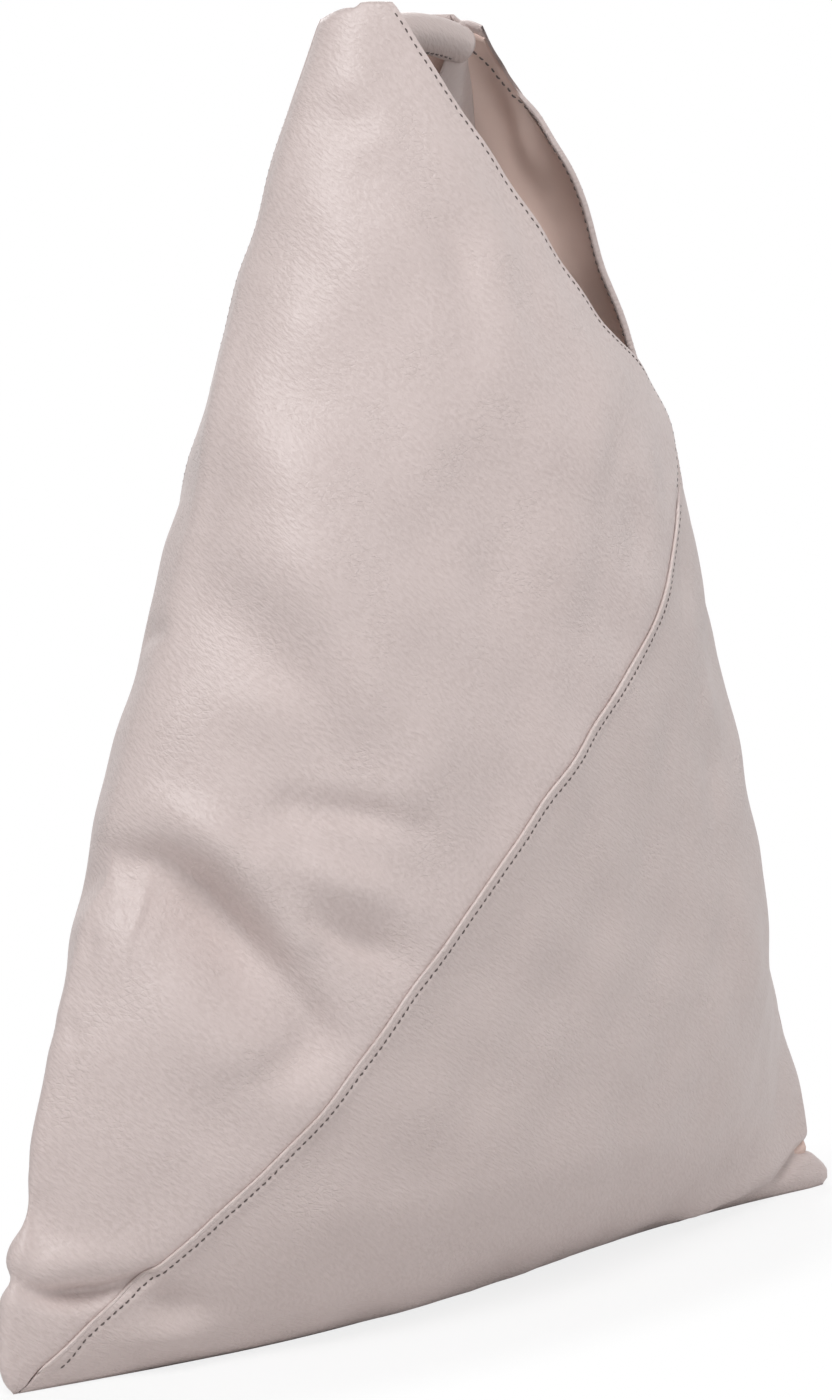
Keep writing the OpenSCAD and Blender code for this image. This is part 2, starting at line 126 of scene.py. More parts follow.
def follow(points: Points, at: np.ndarray) -> np.ndarray:
    """Reads a smooth curve that never overshoots its points.

    Args:
        points: the curve's points as (position, value), in rising order of position.
        at: the positions to read, held to the curve's own span.

    Returns:
        The curve's values at those positions.
    """
    x = np.array([p[0] for p in points])
    y = np.array([p[1] for p in points])
    rise = np.diff(y) / np.diff(x)
    slope = np.empty(len(x))
    slope[0], slope[-1] = rise[0], rise[-1]
    before, after = rise[:-1], rise[1:]
    total = np.where(np.abs(before + after) < TINY, 1.0, before + after)
    slope[1:-1] = np.where(before * after <= 0, 0.0, 2.0 * before * after / total)
    s = np.clip(np.asarray(at, float), x[0], x[-1])
    i = np.clip(np.searchsorted(x, s, side="right") - 1, 0, len(x) - 2)
    h = x[i + 1] - x[i]
    t = (s - x[i]) / h
    return (
        (1 + 2 * t) * (1 - t) ** 2 * y[i]
        + t * (1 - t) ** 2 * h * slope[i]
        + t * t * (3 - 2 * t) * y[i + 1]
        - t * t * (1 - t) * h * slope[i + 1]
    )


@dataclass(frozen=True)
class Wall:
    """The layers of the wall, as distances outside the core surface of the form."""

    lining_in: float = 0.2 * MM
    lining_out: float = 0.8 * MM
    leather_in: float = 1.1 * MM
    leather_out: float = 2.4 * MM


@dataclass(frozen=True)
class Fold:
    """A soft ridge or valley of the wall along a line.

    Attributes:
        line: its points as (angle round the body in degrees, height in millimetres).
        depth: how far the wall moves out, or in where it is negative, in millimetres.
        width: distance from the line at which it has faded to a third, in millimetres.
        start: share of the depth left at the first end of the line.
        end: share of the depth left at the last end of the line.
        sharp: whether it has an edge along its line, and not a round back.
        right_width: the width on the right of the line, seen from outside, where it isn't the same.
    """

    line: Line
    depth: float
    width: float
    start: float = 0.0
    end: float = 0.0
    sharp: bool = False
    right_width: float = 0.0


@dataclass(frozen=True)
class Form:
    """The stuffed form that the panels wrap. Angles run from the right over the front.

    Attributes:
        wall: the layers of its wall.
        height: height of the peaks.
        base_width: width of the base from corner to corner.
        outward_scale: what x, y and z are divided by for a rough outward direction.
        mouth_height: height at which the seams end and the mouths start.
        keel_bend: how far the base fold bends to the back and to the front.
        keel_fade: height over which that bend fades.
        lens_base: how pointed the outline is at the base.
        lens_top: how pointed it is at the top.
        lens_fade: height over which it changes.
        edge_soft: roundness of the two side edges.
        fold_inset: how far the base fold ends inside the corners.
        fold_gap: half the gap between the two layers at the base fold.
        round_off: height over which the bottom edge is rounded.
        lean: how far the peaks lean to the side and to the back.
        lean_power: how late the lean sets in.
        ear_reach: how far the right bottom corner reaches out.
        ear_height: height of that corner.
        ear_power: how narrow that corner is.
        peak_draw: how far the right peak is drawn in.
        peak_low: height at which that starts.
        peak_power: how early it is fully drawn in.
        probe: distance over which a slope is measured.
        base_turn: height over which the wall turns down to the base.
        least_stride: the least length that a degree counts for.
    """

    wall: Wall = Wall()
    height: float = 497 * MM
    base_width: float = 440 * MM
    outward_scale: Triple = (9.0, 1.0, math.inf)
    mouth_height: float = 310 * MM
    keel_bend: float = 8 * MM
    keel_fade: float = 90 * MM
    lens_base: float = 1.6
    lens_top: float = 0.58
    lens_fade: float = 70 * MM
    edge_soft: float = 2.5 * MM
    fold_inset: float = 1.5 * MM
    fold_gap: float = 0.25 * MM
    round_off: float = 12 * MM
    lean: tuple[float, float] = (-9 * MM, 7 * MM)
    lean_power: float = 1.5
    ear_reach: float = 15 * MM
    ear_height: float = 17 * MM
    ear_power: int = 6
    peak_draw: float = 12 * MM
    peak_low: float = 456 * MM
    peak_power: float = 0.8
    probe: float = 0.5 * MM
    base_turn: float = 6 * MM
    least_stride: float = 0.05 * MM

    @property
    def widths(self) -> Points:
        """Half widths by height."""
        low = [(0, 217.5), (12, 220), (28, 218), (60, 210)]
        return in_mm(low + [(160, 180), (310, 120), (437, 71), (497, 43)])

    @property
    def depths(self) -> Points:
        """Half depths by height."""
        low = [(0, 14), (4, 22), (12, 31), (28, 43), (60, 58)]
        return in_mm(low + [(160, 62), (310, 66), (437, 37), (497, 17)])

    def half_width(self, z: np.ndarray) -> np.ndarray:
        """Half width of the core surface at a height."""
        return follow(self.widths, z) - self.wall.leather_out

    def half_depth(self, z: np.ndarray) -> np.ndarray:
        """Half depth of the core surface at a height."""
        return follow(self.depths, z) - self.wall.leather_out

    def lens(self, z: np.ndarray) -> np.ndarray:
        """How pointed the outline is at a height: 0.5 is an ellipse."""
        return self.lens_top + (self.lens_base - self.lens_top) * np.exp(-z / self.lens_fade)

    def keel(self, x: np.ndarray, z: np.ndarray) -> np.ndarray:
        """How far the base fold bends to the back at a place across."""
        turn = 2 * math.pi * np.clip(x / self.base_width, -0.5, 0.5)
        return self.keel_bend * np.sin(turn) * np.exp(-z / self.keel_fade)

    def core(self, angle: np.ndarray, z: np.ndarray) -> np.ndarray:
        """Points of the core surface inside the wall.

        Args:
            angle: angles round the body, in degrees.
            z: heights, at least 0.

        Returns:
            The points, with x, y and z on the last axis.
        """
        a = np.radians(angle)
        x = self.half_width(z) * np.cos(a)
        low = 1 - smooth_step(z, 0.0, self.ear_height)
        right = np.maximum(np.cos(a), 0.0)
        x = x + self.ear_reach * low * right**self.ear_power
        high = smooth_step(z, self.peak_low, self.height)
        x = x - self.peak_draw * high**self.peak_power * right
        s = np.sin(a)
        bulge = self.half_depth(z) * np.abs(s) ** (2 * self.lens(z)) + self.edge_soft * np.abs(s)
        lean = (z / self.height) ** self.lean_power
        lift = self.wall.leather_out * np.exp(-z / self.round_off) * (1 - z / self.height)
        return np.stack(
            [
                x + self.lean[0] * lean,
                self.keel(x, z) - np.sign(s) * bulge + self.lean[1] * lean,
                z + lift,
            ],
            axis=-1,
        )

    def outward(self, angle: np.ndarray, z: np.ndarray) -> np.ndarray:
        """Outward directions of the core surface.

        Args:
            angle: angles round the body, in degrees.
            z: heights, at least 0.

        Returns:
            Unit vectors, turned straight down at the base.
        """
        up = self.core(angle, z + self.probe) - self.core(angle, np.maximum(z - self.probe, 0))
        out = unit(np.cross(up, self.degree(angle, z)))
        flat = 1 - smooth_step(z, 0.0, self.base_turn)[..., None]
        return unit(out * (1 - flat) + np.array([0.0, 0.0, -1.0]) * flat)

    def stride(self, angle: np.ndarray, z: np.ndarray) -> np.ndarray:
        """Metres for each degree round the body."""
        return np.maximum(np.linalg.norm(self.degree(angle, z), axis=-1), self.least_stride)

    def degree(self, angle: np.ndarray, z: np.ndarray) -> np.ndarray:
        """The step that one degree round the body makes on the core surface."""
        return self.core(angle + HALF_DEGREE, z) - self.core(angle - HALF_DEGREE, z)

    def angle_across(self, x: np.ndarray, z: np.ndarray) -> np.ndarray:
        """The angle of the front wall at a place across, in degrees."""
        return np.degrees(np.arccos(np.clip(x / follow(self.widths, z), -1, 1)))


# The diagonal seam, as places across by height
SEAM = [
    (0, -216), (42, -170), (89, -119), (146, -69), (201, -17), (240, 28), (268, 59), (290, 77),
    (310, 88),
]

# The front mouth edge of the front panel, as places across by height
FRONT_MOUTH = (
    (310, 88), (320, 94), (335, 93), (350, 86), (363, 72), (378, 49), (408, 22), (437, 2),
    (475, -19), (497, -28),
)

# Its back mouth edge, as angles past half a turn by height
FRONT_SIDE = ((322, 31), (332, 28), (352, 24), (405, 20), (437, 23), (497, 30))

# The same two edges of the back panel, whose peak curls round the end of the handle
BACK_MOUTH = (
    (310, 88), (320, 94), (335, 93), (350, 86), (363, 72), (378, 49), (408, 22), (437, 6),
    (475, -3), (497, -6),
)
BACK_SIDE = ((322, 31), (332, 28), (352, 24), (405, 18), (437, 16), (456, 8), (478, -8), (497, -30))

# Folds of the front and of the left side
FRONT_FOLDS: tuple[Fold, ...] = (
    # The diagonal seam stands out as the ridge where the two panels meet
    Fold(
        (
            (150, 30), (143, 42), (126, 89), (112, 146), (96, 201), (79, 240), (64, 268),
            (53, 290), (43, 310),
        ),
        8.0, 60, 0.2, 0.3, True,
    ),
    # The long tension fold from the left side to the seam, and the softer ones beside it
    Fold(((176, 372), (164, 342), (150, 313), (136, 279), (127, 251), (119, 221)), 10.0, 26, 0.3, 0.8),
    Fold(((172, 300), (152, 270), (136, 242), (126, 218)), -4.0, 13, 0.3, 0.4),
    Fold(((112, 345), (105, 305), (100, 268)), -3.0, 14, 0.3, 0.4),
    Fold(((100, 375), (96, 330), (92, 280)), 3.5, 18, 0.4, 0.4),
    # Dents and soft spots under the peak
    Fold(((134, 432), (118, 420), (108, 401), (109, 372)), -4.0, 10, 0.2, 0.4),
    Fold(((128, 447), (107, 434), (97, 408), (98, 379)), 2.6, 11, 0.3, 0.4),
    Fold(((176, 457), (148, 453), (128, 451)), -2.0, 9, 0.3, 0.2),
    Fold(((172, 470), (148, 469), (128, 468)), 1.0, 10, 0.3, 0.2),
    # The deep slanting fold on the left, and the ridges and valleys that run from it
    Fold(
        ((184, 184), (174, 188), (162, 188), (151, 181), (141, 165), (133, 146), (127, 130)),
        -15.0, 6.6, 0.35, 0.4, False, 22,
    ),
    Fold(((177, 200), (162, 205), (150, 197), (139, 180), (131, 160)), 5.5, 8, 0.1, 0.6),
    Fold(((137, 189), (127, 179), (116, 165)), 7.5, 9, 0.5, 0.3),
    Fold(((136, 206), (126, 203), (116, 196)), -5.0, 6.5, 0.5, 0.4),
    Fold(((129, 164), (122, 156), (115, 147)), -3.6, 5.0, 0.5, 0.2),
    Fold(((162, 238), (147, 240), (133, 236)), 3.0, 12, 0.4, 0.4),
    Fold(((160, 150), (147, 134), (136, 114), (128, 98)), 4.0, 16, 0.4, 0.4),
    Fold(((136, 108), (129, 113), (123, 121)), -3.0, 8, 0.5, 0.2),
    # The upper panel leans back from its wide foot to the mouth
    Fold(((158, 95), (150, 108), (140, 120)), 3.0, 42, 0.4, 0.4),
    Fold(((122, 351), (108, 322), (91, 291)), -4.0, 42, 0.4, 0.4),
    # Small dents of the left outline, and the flatter stretch under the peak
    Fold(((183, 157), (168, 158)), -1.6, 6, 0.6, 0.2),
    Fold(((182, 127), (167, 128)), -1.6, 6, 0.6, 0.2),
    Fold(((192, 265), (173, 269)), -2.2, 5, 0.9, 0.2),
    Fold(((173, 78), (170, 52)), -2.4, 6, 0.3, 0.8),
    Fold(((204, 400), (206, 330), (206, 270)), -5.0, 30, 0.3, 0.3),
    # The crease where the left side turns away
    Fold(((184, 460), (189, 401), (180, 342), (176, 292), (176, 243)), 1.6, 5, 0.5, 0.2),
    # The swell beside the mouth
    Fold(((28, 296), (26, 340), (30, 372)), 4.5, 24, 0.3, 0.3),
    Fold(((66, 360), (78, 333), (88, 312)), 3.5, 13, 0.6, 0.3),
    Fold(((96, 345), (95, 290)), -2.6, 17, 0.3, 0.2),
    Fold(((14, 450), (16, 425), (20, 395)), 3.5, 20, 0.5, 0.3),
    # The right side is a little flatter than the left one
    Fold(((8, 215), (6, 150), (6, 90), (8, 40)), -5.0, 30, 0.2, 0.4),
    # The lower front triangle is nearly flat, up to where it turns to the right side
    Fold(((50, 50), (46, 110), (42, 180)), 6.0, 42, 0.3, 0.3),
    # Faint upright folds of the lower front triangle
    Fold(((52, 255), (52, 202), (52, 142)), -1.4, 10, 0.2, 0.2),
    Fold(((69, 225), (74, 175)), -1.4, 12, 0.2, 0.2),
    # The lining's soft slanting folds behind the mouth
    Fold(((352, 472), (344, 448), (348, 424)), -2.6, 5, 0.6, 0.3),
    Fold(((334, 474), (340, 440), (352, 405)), 2.6, 6, 0.5, 0.3),
    Fold(((322, 462), (332, 425), (346, 385)), -2.2, 6, 0.5, 0.3),
    # The pinch over the left corner, and the dents round it
    Fold(((178, 41), (169, 38), (160, 35), (151, 34), (143, 40)), -7.0, 3.6, 0.35, 0.5),
    Fold(((173, 51), (160, 47), (148, 47)), 4.5, 7, 0.7, 0.4),
    Fold(((143, 34), (137, 27), (132, 22)), -3.6, 6, 0.4, 0.3),
    Fold(((145, 17), (138, 16), (131, 18)), 2.8, 6, 0.4, 0.3),
    # The pinch over the right corner, and the body's overhang beside it
    Fold(((4, 19), (14, 17), (27, 9), (36, 4)), -4.5, 3.5, 0.8, 0.4),
    Fold(((12, 25), (26, 18), (40, 13), (56, 13), (68, 18)), 5.0, 8, 0.0, 0.2),
)

# The back has its own folds, much like those of the front turned by half a turn
BACK_FOLDS: tuple[Fold, ...] = (
    Fold(((336, 330), (320, 318), (306, 290), (296, 250), (288, 215)), 6.0, 20, 0.1, 0.2),
    Fold(((328, 390), (308, 352), (292, 300), (284, 250)), -4.0, 18, 0.1, 0.1),
    Fold(((336, 280), (322, 262), (310, 240), (296, 205)), -4.0, 14, 0.1, 0.3),
    Fold(((340, 184), (332, 190), (322, 182), (312, 158), (304, 132)), -8.0, 11, 0.1, 0.3),
    Fold(((316, 204), (302, 190), (290, 172)), 4.5, 10, 0.4, 0.2),
    Fold(((324, 148), (312, 132), (304, 118)), 3.6, 15, 0.3, 0.3),
    Fold(((302, 432), (286, 414), (282, 380)), -3.6, 10, 0.3, 0.1),
    Fold(
        (
            (330, 30), (323, 42), (306, 89), (292, 146), (276, 201), (259, 240), (244, 268),
            (233, 290), (223, 310),
        ),
        8.0, 60, 0.2, 0.3, True,
    ),
    Fold(((232, 240), (232, 190), (234, 120)), -2.0, 11, 0.2, 0.2),
    Fold(((346, 40), (338, 38), (326, 44)), -4.0, 5, 0.2, 0.3),
    Fold(((204, 26), (212, 16), (222, 8)), -3.0, 5, 0.3, 0.4),
    Fold(((206, 352), (208, 330), (206, 300)), 2.4, 22, 0.3, 0.3),
)
FOLDS = FRONT_FOLDS + BACK_FOLDS


@dataclass(frozen=True)
class Surface:
    """The form with its folds, which every layer of the wall follows.

    Attributes:
        form: the stuffed form.
        folds: its ridges and valleys.
        samples: points on a fold's line for each stretch of it.
        waves: how many waves make up the leather's unevenness.
        wave_height: height of the shortest of them.
        wave_lengths: the shortest and the longest length of a wave.
        wave_power: how much higher longer waves are.
        seed: what the waves are drawn from.
        fade: heights between which the folds fade in over the base.
        reach: how many widths from its line a fold is followed.
    """

    form: Form
    folds: tuple[Fold, ...]
    samples: int = 6
    waves: int = 16
    wave_height: float = 0.16 * MM
    wave_lengths: tuple[float, float] = (22 * MM, 70 * MM)
    wave_power: float = 0.6
    seed: int = 3
    fade: tuple[float, float] = (-2 * MM, 12 * MM)
    reach: float = 3

    def fold_line(self, fold: Fold) -> np.ndarray:
        """The line of a fold on the core surface.

        Args:
            fold: the fold.

        Returns:
            Its points, close enough together to look smooth.
        """
        places = np.array(fold.line, float)
        knots = np.arange(len(places), dtype=float)
        at = np.linspace(0, len(places) - 1, self.samples * (len(places) - 1) + 1)
        angle = follow(list(zip(knots, places[:, 0])), at)
        height = follow(list(zip(knots, places[:, 1] * MM)), at)
        return self.form.core(angle, height)

    def unevenness(self, points: np.ndarray) -> np.ndarray:
        """The slight waviness that soft leather has all over.

        Args:
            points: points of the core surface, one in each row.

        Returns:
            How far it moves each point out.
        """
        random = np.random.default_rng(self.seed)
        total = np.zeros(len(points))
        for _ in range(self.waves):
            length = random.uniform(*self.wave_lengths)
            direction = unit(random.normal(size=3)) * 2 * math.pi / length
            height = self.wave_height * (length / self.wave_lengths[0]) ** self.wave_power
            total += height * np.sin(points @ direction + random.uniform(0, 2 * math.pi))
        return total

    def relief(self, points: np.ndarray) -> np.ndarray:
        """How far the folds move the wall out.

        Args:
            points: points of the core surface.

        Returns:
            Distances for the points.
        """
        flat = points.reshape(-1, 3)
        total = self.unevenness(flat)
        for fold in self.folds:
            line = self.fold_line(fold)
            lengths = np.linalg.norm(np.diff(line, axis=0), axis=1)
            run = np.concatenate([[0.0], np.cumsum(lengths)])
            reach = self.reach * max(fold.width, fold.right_width) * MM
            low, high = line.min(0) - reach, line.max(0) + reach
            near = np.flatnonzero(((flat > low) & (flat < high)).all(1))
            if not len(near):
                continue
            best = np.full(len(near), np.inf)
            share = np.zeros(len(near))
            right = np.zeros(len(near))
            out = flat[near] / np.array(self.form.outward_scale)
            for k, length in enumerate(lengths):
                span = line[k + 1] - line[k]
                t = np.clip((flat[near] - line[k]) @ span / max(length**2, TINY), 0, 1)
                offset = flat[near] - line[k] - t[:, None] * span
                gap = np.linalg.norm(offset, axis=1)
                closer = gap < best
                left = unit(np.cross(out, span))
                side = (left * offset).sum(1) / np.maximum(gap, TINY)
                right = np.where(closer, 0.5 - 0.5 * side, right)
                best = np.where(closer, gap, best)
                share = np.where(closer, (run[k] + t * length) / run[-1], share)
            ends = (
                1
                - (1 - fold.start) * (1 - smooth_step(share, 0.0, 0.5))
                - (1 - fold.end) * smooth_step(share, 0.5, 1.0)
            )
            right_width = fold.right_width or fold.width
            width = (fold.width + (right_width - fold.width) * smooth_step(right, 0.0, 1.0)) * MM
            profile = np.exp(-best / width) if fold.sharp else bell(best, 0.0, width)
            total[near] += fold.depth * MM * ends * profile
        return total.reshape(points.shape[:-1])

    def skin(self, angle: np.ndarray, z: np.ndarray, out: np.ndarray) -> np.ndarray:
        """Points at a distance outside the core surface.

        Args:
            angle: angles round the body, in degrees.
            z: heights. From 0 down to -1 they run over the flat base to its fold.
            out: distances outside the core surface.

        Returns:
            The points, none of them under the floor.
        """
        angle, z, out = np.broadcast_arrays(*(np.asarray(v, float) for v in (angle, z, out)))
        form = self.form
        height = np.maximum(z, 0.0)
        core = form.core(angle, height)
        relief = self.relief(core) * smooth_step(height, *self.fade)
        points = core + (out + relief)[..., None] * form.outward(angle, height)
        flat = np.clip(-z, 0.0, 1.0)[..., None]
        a = np.radians(angle)
        x = (form.half_width(np.zeros_like(z)) - form.fold_inset) * np.cos(a)
        x = x + form.ear_reach * np.maximum(np.cos(a), 0.0) ** form.ear_power
        soft = np.minimum(form.fold_gap, form.edge_soft * np.abs(np.sin(a)) / 2)
        y = form.keel(x, np.zeros_like(z)) - np.sign(np.sin(a)) * soft
        fold = np.stack([x, y, form.wall.leather_out - out], axis=-1)
        points = points * (1 - flat) + fold * flat
        points[..., 2] = np.maximum(points[..., 2], 0.0)
        return points


def make_object(name: str, points: np.ndarray, faces: Faces, uvs: np.ndarray) -> bpy.types.Object:
    """Makes a mesh object at the origin.

    Args:
        name: the object's name.
        points: its vertices.
        faces: its faces, as lists of vertex numbers.
        uvs: one pair of map coordinates for each vertex, in metres on the surface.

    Returns:
        The new object, shaded smooth.
    """
    mesh = bpy.data.meshes.new(name)
    mesh.from_pydata(points.reshape(-1, 3).tolist(), [], faces)
    layer = mesh.uv_layers.new(name="surface")
    corner = np.empty(len(mesh.loops), np.int32)
    mesh.loops.foreach_get("vertex_index", corner)
    layer.data.foreach_set("uv", uvs.reshape(-1, 2)[corner].astype(np.float32).ravel())
    mesh.polygons.foreach_set("use_smooth", [True] * len(mesh.polygons))
    mesh.update()
    thing = bpy.data.objects.new(name, mesh)
    bpy.context.scene.collection.objects.link(thing)
    return thing


def shell_faces(rows: int, cols: int) -> Faces:
    """Faces of a closed shell over a grid, with an outer and an inner layer.

    Args:
        rows: rows of the grid.
        cols: columns of the grid.

    Returns:
        Quadrangles that point outwards. The outer layer's vertices come first.
    """
    index = np.arange(rows * cols).reshape(rows, cols)
    layer = rows * cols
    a, b = index[:-1, :-1], index[:-1, 1:]
    c, d = index[1:, 1:], index[1:, :-1]
    outer = np.stack([a, d, c, b], -1).reshape(-1, 4)
    inner = np.stack([a, b, c, d], -1).reshape(-1, 4) + layer
    rims = []
    low_and_high = ((index[0], False), (index[-1], True))
    left_and_right = ((index[:, 0], True), (index[:, -1], False))
    for edge, turned in low_and_high + left_and_right:
        p, q = edge[:-1], edge[1:]
        quad = np.stack([p, q, q + layer, p + layer], -1)
        rims.append(quad[:, ::-1] if turned else quad)
    return np.concatenate([outer, inner, *rims]).tolist()


def cord_faces(rings: int, sides: int, first: int = 0) -> Faces:
    """Faces of a closed round cord.

    Args:
        rings: how many rings of vertices it has.
        sides: how many vertices each ring has.
        first: number of its first vertex.

    Returns:
        Its sides as quadrangles, and then its two ends.
    """
    faces = []
    for ring in range(first, first + (rings - 1) * sides, sides):
        for s in range(sides):
            a, b = ring + s, ring + (s + 1) % sides
            faces.append([a, b, b + sides, a + sides])
    last = first + (rings - 1) * sides
    faces.append([first + s for s in reversed(range(sides))])
    faces.append([last + s for s in range(sides)])
    return faces


@dataclass(frozen=True)
class Panel:
    """One leather panel and its lining, which share their edges.

    Attributes:
        surface: the folded surface that it lies on.
        turn: its angle to the front panel, in degrees.
        mouth_edge: its first mouth edge, as places across by height in millimetres.
        side_edge: its last mouth edge, as angles past half a turn by height in millimetres.
        row_step: height of a row of its grid.
        low_step: height of a row near the base.
        low_rows: height up to which the rows are that close.
        side_cols: columns between the edge columns and the middle, on each side.
        crowding: how much those columns crowd towards the middle.
        hem_turn: width of the turned hem.
        side_share: how wide the hem of the last edge is, against that of the first.
        hem_swell: how far the hem stands out.
        lip_swell: how far the lip beside the seam stands out.
        lip_width: width of that lip.
        tuck: how far the other edge of the seam is drawn in.
        tuck_width: width of that tuck.
        groove: depth of the groove under the stitches.
        groove_width: width of that groove.
        seam_groove_at: its distance from the seam.
        hem_groove_at: its distance from the mouth edge.
        crown_drops: parts of the peak that lie lower, as depth, and angles where they set in.
        crown_fade: height over which that drop fades out below.
        base_rows: rows on the flat base, from its fold at -1.
        mouth_fade: where the mouth's inset sets in, against the height of the mouth.
        seam_fade: half the height over which a seam turns into a mouth edge.
        seam_start: height over which the seam's lips and tucks set in.
        least_room: the least angle that is left between the edges.
        edge_room: the largest share of that room for the edge columns.
        least_square: the least squareness that a slanting edge counts for.
        seam_inset: how far both layers stay inside the panel's own edges.
        seam_round: thickness by which the edges in the seams are rounded.
        rim_least: the least squared share of its thickness that an edge keeps.
        lining_gap: how far the lining goes under the turned hem.
        lining_drop: how far the lining ends below the peaks.
    """

    surface: Surface
    turn: float = 0.0
    mouth_edge: Line = FRONT_MOUTH
    side_edge: Line = FRONT_SIDE
    row_step: float = 2.5 * MM
    low_step: float = 1.5 * MM
    low_rows: float = 60 * MM
    side_cols: int = 76
    crowding: float = 1.35
    hem_turn: float = 6 * MM
    side_share: float = 0.3
    hem_swell: float = 0.3 * MM
    lip_swell: float = 0.5 * MM
    lip_width: float = 5 * MM
    tuck: float = 0.9 * MM
    tuck_width: float = 2.6 * MM
    groove: float = 0.35 * MM
    groove_width: float = 0.55 * MM
    seam_groove_at: float = 2.8 * MM
    hem_groove_at: float = 2.4 * MM
    crown_drops: tuple[Triple, ...] = ((3.0 * MM, 150, 158), (3.5 * MM, 160, 190))
    crown_fade: float = 45 * MM
    base_rows: Triple = (-1.0, -0.66, -0.33)
    mouth_fade: tuple[float, float] = (2 * MM, 6 * MM)
    seam_fade: float = 4 * MM
    seam_start: float = 8 * MM
    least_room: float = 0.5
    edge_room: float = 0.45
    least_square: float = 0.35
    seam_inset: float = 0.25 * MM
    seam_round: float = 0.9 * MM
    rim_least: float = 0.02
    lining_gap: float = 0.8 * MM
    lining_drop: float = 4 * MM

    # Distances of the edge columns from their edge, in millimetres, close together at the groove and hem
    EDGE_STEPS = (
        (0, 0.12, 0.3, 0.55, 0.9, 1.3, 1.8, 2.2, 2.6, 3.0)
        + (3.5, 4.2, 5.0, 5.7, 6.05, 6.5, 7.5, 9, 12)
    )

    def heights(self) -> np.ndarray:
        """Heights of the rows, with those of the flat base first, as numbers from -1 to 0."""
        form = self.surface.form
        low = np.arange(0.0, self.low_rows, self.low_step)
        steps = round((form.height - self.low_rows) / self.row_step)
        high = np.linspace(self.low_rows, form.height, steps + 1)
        return np.concatenate([self.base_rows, low, high])

    def seam_angle(self, z: np.ndarray) -> np.ndarray:
        """Angle of the front diagonal seam."""
        return self.surface.form.angle_across(follow(in_mm(SEAM), z), z)

    def first_edge(self, z: np.ndarray) -> np.ndarray:
        """Angle of the panel's first edge: its seam, and its mouth edge above."""
        mouth = self.surface.form.angle_across(follow(in_mm(self.mouth_edge), z), z)
        return np.where(z <= self.surface.form.mouth_height, self.seam_angle(z), mouth)

    def last_edge(self, z: np.ndarray) -> np.ndarray:
        """Angle of the panel's last edge: the other seam, and its mouth edge above."""
        height = self.surface.form.mouth_height
        corner = float(self.seam_angle(np.array(height)))
        places = [(height, corner)] + [(h * MM, a) for h, a in self.side_edge]
        return HALF_TURN + np.where(z <= height, self.seam_angle(z), follow(places, z))

    def crown(self, angle: np.ndarray, z: np.ndarray) -> np.ndarray:
        """How far the top edge of the peak lies under its highest point.

        Args:
            angle: angles in the panel's own turn.
            z: heights before the drop.

        Returns:
            The drop at each point, which fades out under the top edge.
        """
        form = self.surface.form
        drop = sum(depth * smooth_step(angle, low, high) for depth, low, high in self.crown_drops)
        return drop * smooth_step(z, form.height - self.crown_fade, form.height)

    def slant(
        self, edge: np.ndarray, z: np.ndarray, angle_at: Callable[[np.ndarray], np.ndarray]
    ) -> np.ndarray:
        """How much longer a step along a row is than the step square to an edge.

        Args:
            edge: the edge's angles at the heights.
            z: the heights.
            angle_at: the function that gives the edge's angle at a height.

        Returns:
            Factors of 1 or more.
        """
        form = self.surface.form
        low = np.maximum(z - 2 * form.probe, 0.0)
        high = np.minimum(z + 2 * form.probe, form.height)
        run = unit(form.core(angle_at(high), high) - form.core(angle_at(low), low))
        along = unit(form.degree(edge, z))
        square = np.linalg.norm(np.cross(run, along), axis=-1)
        return 1.0 / np.clip(square, self.least_square, 1.0)

    def edge_places(self, first: bool, z: np.ndarray, inset: np.ndarray) -> np.ndarray:
        """Angles at a distance in from one of the panel's edges.

        Args:
            first: whether it is the panel's first edge.
            z: the heights.
            inset: distances square to the edge.

        Returns:
            The angles, in the panel's own turn.
        """
        form = self.surface.form
        angle_at = self.first_edge if first else self.last_edge
        edge = angle_at(z)
        side = 1.0 if first else -1.0
        return edge + side * inset * self.slant(edge, z, angle_at) / form.stride(edge, z)

    def grid(self, inset: float, start: float = 0.0) -> tuple[np.ndarray, ...]:
        """The angles and heights of the panel's grid.

        Args:
            inset: distance of the whole sheet in from the panel's edges.
            start: further inset of the mouth edges.

        Returns:
            Angles, heights, and the distances from the first and the last edge.
        """
        form = self.surface.form
        rows = self.heights()
        z = np.maximum(rows, 0.0)
        steps = np.array(self.EDGE_STEPS) * MM
        below, above = self.mouth_fade
        share = smooth_step(z, form.mouth_height - below, form.mouth_height + above)
        columns, distances = [], []
        for first in (True, False):
            side = 1.0 if first else -1.0
            more = inset + (start if first else start * self.side_share) * share
            limit = self.edge_places(first, z, more)
            room = np.maximum(side * (HALF_TURN - limit), self.least_room)
            wide = side * (self.edge_places(first, z, more + steps[-1]) - limit)
            squeeze = np.minimum(1.0, self.edge_room * room / np.maximum(wide, TINY))
            part = wide * squeeze
            fine = limit[:, None] + side * part[:, None] * (steps / steps[-1])[None, :]
            crowd = 1 - (1 - np.linspace(0, 1, self.side_cols)[1:]) ** self.crowding
            rest = fine[:, -1:] + (HALF_TURN - fine[:, -1:]) * crowd[None, :]
            columns.append(np.concatenate([fine, rest], 1))
            far = np.full(rest.shape, FAR)
            near = more[:, None] + steps[None, :] * squeeze[:, None]
            distances.append(np.concatenate([near, far], 1))
        angle = np.concatenate([columns[0], columns[1][:, -2::-1]], 1)
        from_first = np.concatenate([distances[0], np.full(columns[1][:, :-1].shape, FAR)], 1)
        from_last = np.concatenate([np.full(columns[0].shape, FAR), distances[1][:, -2::-1]], 1)
        height = np.broadcast_to(rows[:, None], angle.shape).copy()
        return angle, height, from_first, from_last

